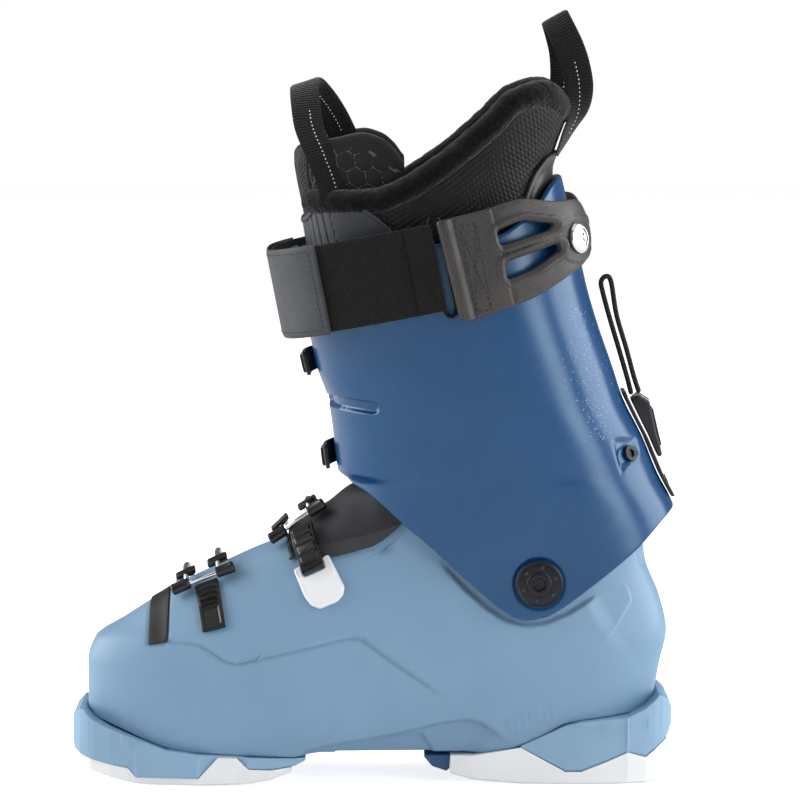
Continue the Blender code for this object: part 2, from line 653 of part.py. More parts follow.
def make_walk_mechanism():
    heights = (141, 146, 151, 160, 170, 180, 190, 193)
    inner = [(along(z, CUFF_REAR) + 0.5, z) for z in heights]
    outer = [(x + 2.2, z) for x, z in reversed(inner)]
    prism("walk_base_plate", inner + outer, -13, 13, BLACK_GLOSS)
    lever = prism("walk_lever", LEVER_OUTLINE, -10, 10, GUNMETAL)
    set_origin(lever, (LEVER_PIVOT[0], 0, LEVER_PIVOT[1]))
    points = [(x, 0, z) for x, z in LEVER_CORD]
    wire("lever_cord_loop", points, [1.25] * len(points), CORD_BLACK)


def make_fixings(cuff):
    half = abs(cuff_point(math.pi / 2, PIVOT[1])[1])
    for word, side in (("medial", -1), ("lateral", 1)):
        disc("pivot_bolt_" + word, (PIVOT[0], side * (half + 1.3), PIVOT[1]), (0, side, 0), 11.7, 2.8,
             DARK_METAL)
        tree = BVHTree.FromObject(cuff, bpy.context.evaluated_depsgraph_get())
        start = Vector((127, side * 120 + CENTRE_Y, 164)) * MM
        hit, normal, _, _ = tree.ray_cast(start, Vector((0, -side, 0)))
        place = hit / MM - Vector((0, CENTRE_Y, 0)) + normal * 0.6
        disc("cuff_screw_" + word, place, normal, 4.2, 1.6, DARK_METAL, sides=16, bevel=0.4)
    for name, x, y in SOLE_SCREWS:
        low = 3.0 if x < 0 else 2.0
        disc(name, (x, y, low + 2.6), (0, 0, -1), 4.5, 2.4, CHROME, sides=16, bevel=0.4)


def make_screw_recesses():
    """Round counterbores in the grips, from below, that the sole screws sit in."""
    for name, x, y in SOLE_SCREWS:
        recess = disc(name + "_recess", (x, y, 5.9 if x < 0 else 4.9), (0, 0, -1), 5.2, 14, CHROME,
                      sides=20)
        BOOT.objects.unlink(recess)
        CUTTERS.objects.link(recess)
        recess.hide_render = True
        recess.display_type = "WIRE"
        grip = "toe_sole_grip" if x < 0 else "heel_sole_grip"
        boolean(bpy.data.objects[grip], recess, "DIFFERENCE")


clear_scene()
BOOT = new_collection("alpine_ski_boot")
CUTTERS = new_collection("cutters")
LIGHT_BLUE = material("light_blue_plastic", (123, 157, 189), 0.42)
DEEP_BLUE = material("deep_blue_plastic", (38, 82, 128), 0.40)
CHARCOAL = material("charcoal_plastic", (60, 61, 64), 0.55)
NAVY = material("navy_plastic", (46, 84, 126), 0.45)
WHITE_RUBBER = material("white_rubber", (236, 238, 240), 0.6)
WHITE = material("white_plastic", (238, 240, 242), 0.4)
BLACK_GLOSS = material("black_moulding", (22, 22, 24), 0.3)
YOKE_BLACK = material("yoke_elastomer", (52, 50, 49), 0.55)
LEATHERETTE = material("leatherette", (62, 64, 67), 0.6)
WEBBING = material("webbing", (38, 37, 36), 0.9)
CORD_BLACK = material("braided_cord", (20, 20, 21), 0.85)
PLUSH = material("liner_plush", (20, 20, 21), 0.95)
FELT = material("liner_felt", (44, 44, 46), 0.95)
SILVER = material("aluminium", (190, 192, 196), 0.3, 1.0)
CHROME = material("chrome", (220, 222, 226), 0.12, 1.0)
GUNMETAL = material("gunmetal", (72, 74, 78), 0.35, 0.9)
DARK_METAL = material("dark_steel", (52, 53, 56), 0.35, 0.8)

lower_shell = make_lower_shell()
cuff_body = make_cuff()
instep_flap = make_instep_flap()
make_soles()
make_screw_recesses()
make_liner_foot()
make_liner_upper()
make_tongue()
bpy.context.view_layer.update()
make_buckles(lower_shell, instep_flap, cuff_body)
make_power_strap()
make_strap_ring()
make_walk_mechanism()
make_fixings(cuff_body)
set_origin(cuff_body, (PIVOT[0], 0, PIVOT[1]))
ribbon("front_pull_loop", FRONT_LOOP, (1, 0.35, 0), LOOP_WIDTH, LOOP_THICKNESS, WEBBING)
ribbon("rear_pull_loop", REAR_LOOP, (0.35, 1, 0), LOOP_WIDTH, LOOP_THICKNESS, WEBBING)
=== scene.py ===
import math

import bmesh
import bpy
import mathutils
import numpy as np
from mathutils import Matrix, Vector
from mathutils.bvhtree import BVHTree


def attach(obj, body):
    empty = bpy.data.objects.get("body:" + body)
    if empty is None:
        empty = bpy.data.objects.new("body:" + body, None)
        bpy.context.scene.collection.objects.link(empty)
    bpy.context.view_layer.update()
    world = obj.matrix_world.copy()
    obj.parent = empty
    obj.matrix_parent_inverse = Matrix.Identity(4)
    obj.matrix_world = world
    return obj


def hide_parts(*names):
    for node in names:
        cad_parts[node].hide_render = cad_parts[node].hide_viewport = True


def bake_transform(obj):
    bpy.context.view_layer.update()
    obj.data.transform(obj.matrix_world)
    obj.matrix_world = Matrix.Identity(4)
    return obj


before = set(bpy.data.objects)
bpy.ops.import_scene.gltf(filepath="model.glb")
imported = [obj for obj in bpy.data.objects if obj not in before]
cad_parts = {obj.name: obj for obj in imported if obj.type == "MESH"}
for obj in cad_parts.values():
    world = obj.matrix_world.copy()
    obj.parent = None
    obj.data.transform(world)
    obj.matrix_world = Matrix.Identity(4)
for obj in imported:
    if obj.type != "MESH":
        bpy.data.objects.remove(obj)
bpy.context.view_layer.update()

# Lengths below are in millimetres; meshes are scaled to metres when they are made.
MM = 0.001
# The boot's middle plane lies a little to the medial side of the frame's.
MID_Y = -0.4
PI = math.pi
MERGE_DISTANCE = 2e-6


# ---------------------------------------------------------------- camera, light, stage
def add_camera():
    target = Vector((0.014, 0.0, 0.188))
    elevation = math.radians(5.5)
    distance = 2.3
    # The picture is 0.4 m wide at the target.
    picture_width = 0.400
    data = bpy.data.cameras.new("camera")
    data.sensor_width = 36
    data.lens = data.sensor_width * distance / picture_width
    data.clip_end = 50
    cam = bpy.data.objects.new("camera", data)
    bpy.context.scene.collection.objects.link(cam)
    cam.location = target + Vector((0, -math.cos(elevation), math.sin(elevation))) * distance
    cam.rotation_euler = (target - cam.location).to_track_quat("-Z", "Y").to_euler()
    bpy.context.scene.camera = cam


# Lights: (name, place, size along and across, power), all pointing at the middle of the boot.
LIGHTS = (("key_left", (-2.2, 0.25, 0.8), 2.4, 2.4, 84), ("side_right", (2.2, 0.0, 0.8), 2.0, 2.4, 60),
          ("band_right", (1.5, -1.6, 0.5), 0.6, 2.4, 22), ("fill_left", (-1.3, -1.9, 0.9), 1.0, 1.6, 3),
          ("top", (0.0, -0.2, 2.3), 2.8, 2.2, 13))
LIGHT_TARGET = Vector((0.0, 0.0, 0.18))


def add_light():
    for name, place, size, size_y, power in LIGHTS:
        data = bpy.data.lights.new(name, "AREA")
        data.shape = "RECTANGLE"
        data.size = size
        data.size_y = size_y
        data.energy = power
        light = bpy.data.objects.new(name, data)
        bpy.context.scene.collection.objects.link(light)
        light.location = place
        light.rotation_euler = (LIGHT_TARGET - Vector(place)).to_track_quat("-Z", "Y").to_euler()
    world = bpy.data.worlds.new("world")
    world.use_nodes = True
    tree = world.node_tree
    back = tree.nodes["Background"]
    back.inputs["Color"].default_value = (1, 1, 1, 1)
    # The backdrop stays white while the light it gives is softer.
    path = tree.nodes.new("ShaderNodeLightPath")
    strength = tree.nodes.new("ShaderNodeMapRange")
    strength.inputs["To Min"].default_value = 0.18
    strength.inputs["To Max"].default_value = 1.0
    tree.links.new(path.outputs["Is Camera Ray"], strength.inputs["Value"])
    tree.links.new(strength.outputs[0], back.inputs["Strength"])
    bpy.context.scene.world = world
    bpy.context.scene.view_settings.view_transform = "Standard"


def add_floor():
    mesh = bpy.data.meshes.new("floor")
    s = 6.0
    mesh.from_pydata([(-s, -s, 0), (s, -s, 0), (s, s, 0), (-s, s, 0)], [], [(0, 1, 2, 3)])
    floor = bpy.data.objects.new("floor", mesh)
    bpy.context.scene.collection.objects.link(floor)
    floor.location.z = -0.0004
    mat = bpy.data.materials.new("floor")
    mat.use_nodes = True
    shader = mat.node_tree.nodes["Principled BSDF"]
    shader.inputs["Base Color"].default_value = (0.93, 0.93, 0.93, 1)
    shader.inputs["Roughness"].default_value = 0.9
    shader.inputs["Emission Color"].default_value = (1, 1, 1, 1)
    # The floor only looks lighter; it gives no more light for that.
    path = mat.node_tree.nodes.new("ShaderNodeLightPath")
    seen = mat.node_tree.nodes.new("ShaderNodeMath")
    seen.operation = "MULTIPLY"
    seen.inputs[1].default_value = 0.8
    mat.node_tree.links.new(path.outputs["Is Camera Ray"], seen.inputs[0])
    mat.node_tree.links.new(seen.outputs[0], shader.inputs["Emission Strength"])
    floor.data.materials.append(mat)


# ---------------------------------------------------------------- shape helpers
def along(value, table):
    """Smooth value of a table at every place of an array, level beyond its ends."""
    xs = np.array([p[0] for p in table], float)
    ys = np.array([p[1] for p in table], float)
    slopes = np.diff(ys) / np.diff(xs)
    tangents = np.empty(len(xs))
    tangents[0], tangents[-1] = slopes[0], slopes[-1]
    a, b = slopes[:-1], slopes[1:]
    total = np.where(a + b == 0, 1, a + b)
    tangents[1:-1] = np.where(a * b > 0, 2 * a * b / total, 0)
    value = np.clip(np.asarray(value, float), xs[0], xs[-1])
    i = np.clip(np.searchsorted(xs, value, side="right") - 1, 0, len(xs) - 2)
    h = xs[i + 1] - xs[i]
    t = (value - xs[i]) / h
    return ((2 * t**3 - 3 * t**2 + 1) * ys[i] + (t**3 - 2 * t**2 + t) * h * tangents[i]
            + (-2 * t**3 + 3 * t**2) * ys[i + 1] + (t**3 - t**2) * h * tangents[i + 1])


def ease(value, low=0.0, high=1.0):
    """0 below low, 1 above high, smooth between."""
    t = np.clip((value - low) / (high - low), 0, 1)
    return t * t * (3 - 2 * t)


def line_distance(x, z, points):
    """Distance of places to an open line, and the share of the line before the nearest point.

    The distance is positive on the left of the line's direction."""
    best = np.full(np.shape(x), 1e9)
    sign = np.ones(np.shape(x))
    share = np.zeros(np.shape(x))
    lengths = [math.dist(p, q) for p, q in zip(points, points[1:])]
    total = sum(lengths)
    done = 0.0
    for (x0, z0), (x1, z1), length in zip(points, points[1:], lengths):
        dx, dz = x1 - x0, z1 - z0
        t = np.clip(((x - x0) * dx + (z - z0) * dz) / length**2, 0, 1)
        d = np.hypot(x - x0 - t * dx, z - z0 - t * dz)
        closer = d < best - 1e-9
        best = np.where(closer, d, best)
        sign = np.where(closer, np.where(dx * (z - z0) - dz * (x - x0) >= 0, 1, -1), sign)
        share = np.where(closer, (done + t * length) / total, share)
        done += length
    return best * sign, share


def inside_distance(x, z, outline):
    """Signed distance to a closed outline, positive inside."""
    outline = [tuple(p) for p in outline]
    best = np.full(np.shape(x), 1e9)
    inside = np.zeros(np.shape(x), bool)
    for (x0, z0), (x1, z1) in zip(outline, outline[1:] + outline[:1]):
        dx, dz = x1 - x0, z1 - z0
        t = np.clip(((x - x0) * dx + (z - z0) * dz) / (dx * dx + dz * dz), 0, 1)
        best = np.minimum(best, np.hypot(x - x0 - t * dx, z - z0 - t * dz))
        crosses = ((z0 > z) != (z1 > z)) & (x < x0 + dx * (z - z0) / (dz if dz else 1e-9))
        inside ^= crosses
    return np.where(inside, best, -best)


def smooth_line(points, per_span=8, closed=False):
    """A Catmull-Rom line through points, as an array."""
    pts = [np.array(p, float) for p in points]
    count = len(pts)
    out = []
    spans = count if closed else count - 1
    for i in range(spans):
        p1, p2 = pts[i], pts[(i + 1) % count]
        p0 = pts[i - 1] if closed or i else 2 * p1 - p2
        p3 = pts[(i + 2) % count] if closed or i + 2 < count else 2 * p2 - p1
        for k in range(per_span):
            t = k / per_span
            out.append(0.5 * (2 * p1 + (p2 - p0) * t + (2 * p0 - 5 * p1 + 4 * p2 - p3) * t * t
                              + (3 * p1 - p0 - 3 * p2 + p3) * t**3))
    if not closed:
        out.append(pts[-1])
    return np.array(out)


def unit(vectors):
    return vectors / np.linalg.norm(vectors, axis=-1, keepdims=True)


def run_length(line):
    """Length along a line up to each of its points."""
    return np.concatenate([[0], np.cumsum(np.linalg.norm(np.diff(line, axis=0), axis=1))])


def new_object(name, verts, faces, mat, body, replaced=(), smooth=True, flat=None):
    """A piece from points in millimetres, riding on a body.

    flat holds a place (u, v) in millimetres for each point, for woven materials."""
    mesh = bpy.data.meshes.new(name)
    verts = (np.asarray(verts, float) + [0, MID_Y, 0]) * MM
    mesh.from_pydata(verts.tolist(), [], [tuple(int(v) for v in f) for f in faces])
    bm = bmesh.new()
    bm.from_mesh(mesh)
    if flat is not None:
        layer = bm.loops.layers.uv.new("flat")
        for face in bm.faces:
            for loop in face.loops:
                loop[layer].uv = np.asarray(flat[loop.vert.index]) * MM
    bmesh.ops.remove_doubles(bm, verts=bm.verts, dist=MERGE_DISTANCE)
    bmesh.ops.recalc_face_normals(bm, faces=bm.faces)
    bm.to_mesh(mesh)
    bm.free()
    obj = bpy.data.objects.new(name, mesh)
    bpy.context.scene.collection.objects.link(obj)
    mesh.materials.append(mat)
    if smooth:
        mesh.shade_smooth()
    if body:
        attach(obj, body)
    if replaced:
        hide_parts(*replaced)
    return obj


def sharp_by_angle(obj, degrees):
    """Smooth shading that keeps edges sharper than an angle."""
    mesh = obj.data
    bm = bmesh.new()
    bm.from_mesh(mesh)
    for edge in bm.edges:
        if len(edge.link_faces) == 2:
            edge.smooth = edge.calc_face_angle(0) < math.radians(degrees)
    bm.to_mesh(mesh)
    bm.free()


def outward_normals(grid, whole):
    """Unit normals of a grid of points; in a whole grid the last column meets the first."""
    if whole:
        step = np.roll(grid, -1, axis=1) - np.roll(grid, 1, axis=1)
    else:
        step = np.gradient(grid, axis=1)
    normals = np.cross(step, np.gradient(grid, axis=0))
    length = np.linalg.norm(normals, axis=2, keepdims=True)
    return normals / np.where(length < 1e-9, 1, length)


def grid_faces(rows, cols, whole=False, start=0):
    """Faces between the points of a grid; in a whole grid the last column meets the first."""
    faces = []
    for row in range(start, start + (rows - 1) * cols, cols):
        for c in range(cols if whole else cols - 1):
            d = (c + 1) % cols
            faces.append((row + c, row + d, row + cols + d, row + cols + c))
    return faces


def edge_height(point, t, table, start):
    """Height at which the outline at each angle first meets an edge given as (x, height).

    Sharp dips along the edge are filled up to the mean of their neighbours."""
    levels = np.linspace(3.0, 340.0, 700)
    t = np.asarray(t, float)
    tt, zz = np.meshgrid(t, levels, indexing="ij")
    gap = zz - along(point(tt, zz)[..., 0], table)
    usable = (gap >= 0) & (zz > start - 70)
    first = np.clip(np.argmax(usable, axis=1), 1, len(levels) - 1)
    rows = np.arange(len(t))
    before, after = gap[rows, first - 1], gap[rows, first]
    share = np.clip(-before / np.maximum(after - before, 1e-6), 0, 1)
    z = levels[first - 1] + share * (levels[first] - levels[first - 1])
    reach = 5
    ring = np.concatenate([z[-reach:], z, z[:reach]])
    return np.maximum(z, np.convolve(ring, np.full(2 * reach + 1, 1 / (2 * reach + 1)), mode="valid"))


def rim_height(point, t, table, start):
    """Height at which a leaning outline meets an edge given as (x, height), starting from a near height."""
    z = np.full(np.shape(t), float(start))
    for _ in range(60):
        z = 0.6 * z + 0.4 * along(point(t, z)[..., 0], table)
    return z


def wall_grid(point, t, low, high, rows):
    """Points of a lofted wall: rows from low to high, columns by angle."""
    v = np.asarray(rows)[:, None]
    z = low[None, :] + (high - low)[None, :] * v
    return point(np.broadcast_to(t, z.shape), z)


def close_wall(name, outer, thickness, mat, body, replaced, whole, radius, floor=False, plain=None):
    """A wall with rounded edges from an outer grid of points: its inside is set in by the thickness.

    plain is the outer grid before its details, and a floor closes the wall's bottom."""
    normals = outward_normals(outer, whole)
    up = np.gradient(outer, axis=0)
    up = up / np.maximum(np.linalg.norm(up, axis=2, keepdims=True), 1e-9)
    arc = [(1 - math.cos(a), math.sin(a)) for a in (PI / 8, PI / 4, 3 * PI / 8, PI / 2)]
    top, bottom = outer[-1:], outer[:1]
    n_top, n_bot = normals[-1:], normals[:1]
    u_top, u_bot = up[-1:], up[:1]
    rim_top = [top + radius * (s * u_top - c * n_top) for c, s in arc]
    inner_top = top - thickness * n_top
    rim_top += [inner_top + radius * (s * u_top + c * n_top) for c, s in reversed(arc)]
    rim_bot = [bottom - radius * s * u_bot - radius * c * n_bot for c, s in arc]
    inner_bot = bottom - thickness * n_bot
    rim_bot += [inner_bot - radius * s * u_bot + radius * c * n_bot for c, s in reversed(arc)]
    inner = outer - thickness * normals
    if plain is not None:
        # The inside follows the plain shape where the outside is raised, and the outside where it is
        # sunk.
        plain_normals = outward_normals(plain, whole)
        raised = np.sum((outer - plain) * plain_normals, axis=2, keepdims=True)
        inner = plain - (thickness - np.minimum(raised, 0)) * plain_normals
        inner[-1] = inner_top[0]
    if floor:
        bottom = outer[0, :, 2].max() + thickness + 0.3
        inner[..., 2] = np.maximum(inner[..., 2], bottom)
        sheet = np.concatenate([outer] + rim_top + [inner[::-1][:-1]] + [inner[:1] + [0, 0, thickness]])
    else:
        sheet = np.concatenate([outer] + rim_top + [inner[::-1]] + rim_bot[::-1])
    rows, cols = sheet.shape[:2]
    verts = sheet.reshape(-1, 3)
    faces = grid_faces(rows, cols, whole)
    if floor:
        # The two flat ends of the sheet, as strips across the boot.
        last = (rows - 1) * cols
        half = cols // 2
        for base in (0, last):
            for i in range(half):
                quad = [base + i, base + i + 1, base + (cols - i - 1) % cols, base + (cols - i) % cols]
                faces.append([v for k, v in enumerate(quad) if v not in quad[:k]])
    else:
        for c in range(cols if whole else cols - 1):
            d = (c + 1) % cols
            faces.append(((rows - 1) * cols + c, (rows - 1) * cols + d, d, c))
        if not whole:
            # The two ends of an open wall: the loop of rows is closed with strips across the thickness.
            count = outer.shape[0]
            inner_first = count + len(rim_top)
            for c in (0, cols - 1):
                loop = [r * cols + c for r in range(rows)]
                for k in range(count - 1):
                    a, b = loop[k], loop[k + 1]
                    p, q = loop[inner_first + count - 1 - k], loop[inner_first + count - 2 - k]
                    faces.append((a, b, q, p))
                faces.append([loop[count - 1 + k] for k in range(len(rim_top) + 2)])
                tail = [loop[(inner_first + count - 1 + k) % rows] for k in range(len(rim_bot) + 2)]
                faces.append(tail)
    return new_object(name, verts, faces, mat, body, replaced)


def thick_sheet(top, under, faces):
    """Closes a sheet: its faces over the top points, a copy over the under points, and walls between.

    Gives the points, the faces, and which of all the points were kept."""
    count = len(top)
    faces = [tuple(f) for f in faces]
    borders = {}
    for face in faces:
        for a, b in zip(face, face[1:] + face[:1]):
            key = (min(a, b), max(a, b))
            borders[key] = None if key in borders else (a, b)
    closed = faces + [tuple(v + count for v in reversed(f)) for f in faces]
    closed += [(b, a, a + count, b + count) for a, b in filter(None, borders.values())]
    used = np.unique(np.concatenate([np.ravel(f) for f in closed]))
    renumber = np.full(2 * count, -1)
    renumber[used] = np.arange(len(used))
    return np.concatenate([top, under])[used], [tuple(renumber[list(f)]) for f in closed], used


def second_finish(piece, mat, chosen):
    """Gives a second material to the faces chosen by their centres (in millimetres) and normals."""
    piece.data.materials.append(mat)
    centres = np.array([p.center for p in piece.data.polygons]) / MM
    normals = np.array([p.normal for p in piece.data.polygons])
    for polygon, second in zip(piece.data.polygons, chosen(centres, normals)):
        polygon.material_index = int(second)


def surface_tree(piece):
    """A tree for casting rays, in millimetres from the boot's middle plane."""
    corners = np.empty(len(piece.data.vertices) * 3)
    piece.data.vertices.foreach_get("co", corners)
    corners = corners.reshape(-1, 3) / MM - [0, MID_Y, 0]
    return BVHTree.FromPolygons(corners.tolist(), [list(p.vertices) for p in piece.data.polygons])


def outline_normals(loop):
    """Unit normals of a closed flat outline, to the left of its direction."""
    ahead = np.roll(loop, -1, axis=0) - np.roll(loop, 1, axis=0)
    return unit(np.stack([-ahead[:, 1], ahead[:, 0]], axis=1))


# ---------------------------------------------------------------- materials
# A wave texture repeats over this length when its scale is 1.
WAVE_AT_SCALE_ONE = 0.31416


def linear(rgb):
    return tuple((c / 255) ** 2.2 for c in rgb) + (1.0,)


class Paint:
    """A Principled material with helpers that build its procedural detail."""

    def __init__(self, name, rgb, rough, metallic=0.0, specular=0.5, sheen=0.0, sheen_rough=0.4):
        self.mat = bpy.data.materials.new(name)
        self.mat.use_nodes = True
        self.tree = self.mat.node_tree
        self.shader = self.tree.nodes["Principled BSDF"]
        self.put("Base Color", linear(rgb))
        self.put("Roughness", rough)
        self.put("Metallic", metallic)
        self.put("Specular IOR Level", specular)
        self.put("Sheen Weight", sheen)
        self.put("Sheen Roughness", sheen_rough)
        self.coords = self.tree.nodes.new("ShaderNodeTexCoord").outputs["Object"]
        self.normal = None
        self.mat.diffuse_color = linear(rgb)

    def put(self, socket, value):
        self.shader.inputs[socket].default_value = value

    def node(self, kind, **values):
        """A new node; a value's name is its input's, with _ for a blank."""
        node = self.tree.nodes.new("ShaderNode" + kind)
        for key, value in values.items():
            node.inputs[key.replace("_", " ")].default_value = value
        return node

    def link(self, a, b):
        self.tree.links.new(a, b)

    def mapped(self, scale=(1, 1, 1), rotation=(0, 0, 0), coords=None):
        node = self.node("Mapping", Scale=scale, Rotation=rotation)
        self.link(coords or self.coords, node.inputs["Vector"])
        return node.outputs[0]

    def noise(self, scale, detail, rough=0.5, coords=None):
        node = self.node("TexNoise", Scale=scale, Detail=detail, Roughness=rough)
        self.link(coords or self.coords, node.inputs["Vector"])
        return node.outputs["Fac"]

    def voronoi(self, scale, feature="F1"):
        node = self.node("TexVoronoi", Scale=scale)
        node.feature = feature
        self.link(self.coords, node.inputs["Vector"])
        return node.outputs["Distance"]

    def wave(self, scale, direction, coords=None):
        node = self.node("TexWave", Scale=scale)
        node.bands_direction = direction
        self.link(coords or self.coords, node.inputs["Vector"])
        return node.outputs["Fac"]

    def ribs(self, pitch, direction, coords=None):
        """Waves at a pitch in millimetres."""
        return self.wave(WAVE_AT_SCALE_ONE / (pitch * MM), direction, coords)

    def math(self, operation, a, b):
        node = self.node("Math")
        node.operation = operation
        for socket, value in zip(node.inputs, (a, b)):
            if isinstance(value, (int, float)):
                socket.default_value = value
            else:
                self.link(value, socket)
        return node.outputs[0]

    def remap(self, value, low, high, out_low, out_high):
        node = self.node("MapRange", From_Min=low, From_Max=high, To_Min=out_low, To_Max=out_high)
        self.link(value, node.inputs["Value"])
        return node.outputs[0]

    def bump(self, height, strength, distance):
        node = self.node("Bump", Strength=strength, Distance=distance * MM)
        self.link(height, node.inputs["Height"])
        if self.normal:
            self.link(self.normal, node.inputs["Normal"])
        self.normal = node.outputs[0]
        self.link(self.normal, self.shader.inputs["Normal"])

    def tint(self, fac, rgb, amount):
        """Mixes the base colour towards another by a factor."""
        node = self.node("Mix")
        node.data_type = "RGBA"
        # The colours are inputs 6 and 7 of a Mix node, and the mixed colour is output 2.
        a, b = node.inputs[6], node.inputs[7]
        current = self.shader.inputs["Base Color"]
        if current.is_linked:
            self.link(current.links[0].from_socket, a)
        else:
            a.default_value = current.default_value
        b.default_value = linear(rgb)
        self.link(self.math("MULTIPLY", fac, amount), node.inputs[0])
        self.link(node.outputs[2], current)

    def patches(self, scale, detail, low, high, rgb, amount, rough=0.5):
        """Patches of another colour where a noise lies between low and high or above."""
        self.tint(self.remap(self.noise(scale, detail, rough), low, high, 0, 1), rgb, amount)

    def rough(self, fac, low, high):
        self.link(self.remap(fac, 0.3, 0.7, low, high), self.shader.inputs["Roughness"])


def moulded(name, rgb, rough, specular=0.5, grain=1.0, darker=0.88):
    """Injection-moulded plastic: fine grain, faint flow clouds, uneven gloss, a little scuffing."""
    p = Paint(name, rgb, rough, specular=specular)
    fine = p.noise(1900, 2.0)
    peel = p.noise(240, 2.0)
    flow = p.noise(16, 3.0, 0.55)
    p.tint(p.remap(flow, 0.35, 0.7, 0, 1), tuple(c * darker for c in rgb), 0.35)
    scuff = p.noise(60, 8.0, 0.7, coords=p.mapped((1, 1, 3.2)))
    p.tint(p.remap(scuff, 0.66, 0.8, 0, 1), tuple(min(255, c * 1.18 + 8) for c in rgb), 0.16)
    p.rough(flow, rough - 0.04, rough + 0.05)
    p.bump(fine, 0.10 * grain, 0.06)
    p.bump(peel, 0.06 * grain, 0.12)
    return p


def make_materials():
    m = {}
    m["light_blue"] = moulded("light_blue_plastic", (122, 155, 184), 0.44, 0.42).mat
    # The sole plates' own blue, lightened further as painted light: the extra lightness stands in for light
    # bounced up from the floor under the sole.
    m["sole_blue"] = moulded("sole_blue_plastic", (136, 170, 198), 0.46, 0.42).mat
    deep = moulded("deep_blue_plastic", (0, 66, 114), 0.27, 0.85, darker=0.8)
    deep.put("Specular Tint", linear((214, 240, 255)))
    m["deep_blue"] = deep.mat
    m["charcoal"] = moulded("charcoal_plastic", (42, 43, 46), 0.55, 0.36, grain=1.8).mat
    m["charcoal_light"] = moulded("charcoal_band_plastic", (56, 57, 60), 0.55, 0.4, grain=1.8).mat
    m["navy"] = moulded("navy_plastic", (44, 82, 124), 0.42).mat
    m["white_rubber"] = moulded("white_rubber", (233, 235, 237), 0.6, 0.35, grain=1.5, darker=0.96).mat
    m["white"] = moulded("white_plastic", (238, 240, 242), 0.36, 0.5, darker=0.97).mat
    m["black"] = moulded("black_moulding", (20, 20, 22), 0.26, 0.55, grain=1.2, darker=0.7).mat
    m["black_matt"] = moulded("black_moulding_matt", (26, 26, 28), 0.48, 0.45, grain=1.6, darker=0.7).mat
    for key, name, rgb, rough, metallic in (("chrome", "chrome", (226, 228, 232), 0.10, 1.0),
                                            ("silver", "aluminium", (196, 198, 202), 0.26, 1.0),
                                            ("gunmetal", "gunmetal", (64, 66, 70), 0.34, 0.85),
                                            ("dark_steel", "dark_steel", (52, 53, 56), 0.30, 0.85)):
        p = Paint(name, rgb, rough, metallic=metallic)
        brushed = p.noise(900, 4.0, 0.6, coords=p.mapped((1, 6, 1)))
        p.rough(brushed, rough - 0.04, rough + 0.10)
        p.patches(110, 6.0, 0.6, 0.8, tuple(c * 0.8 for c in rgb), 0.4, rough=0.7)
        p.bump(brushed, 0.05, 0.05)
        m[key] = p.mat
    m["fleck"] = moulded("light_print", (112, 146, 182), 0.4).mat
    p = Paint("black_chrome", (38, 38, 42), 0.14, metallic=1.0)
    p.rough(p.noise(700, 3.0), 0.10, 0.22)
    m["black_chrome"] = p.mat
    make_cloth_materials(m)
    return m


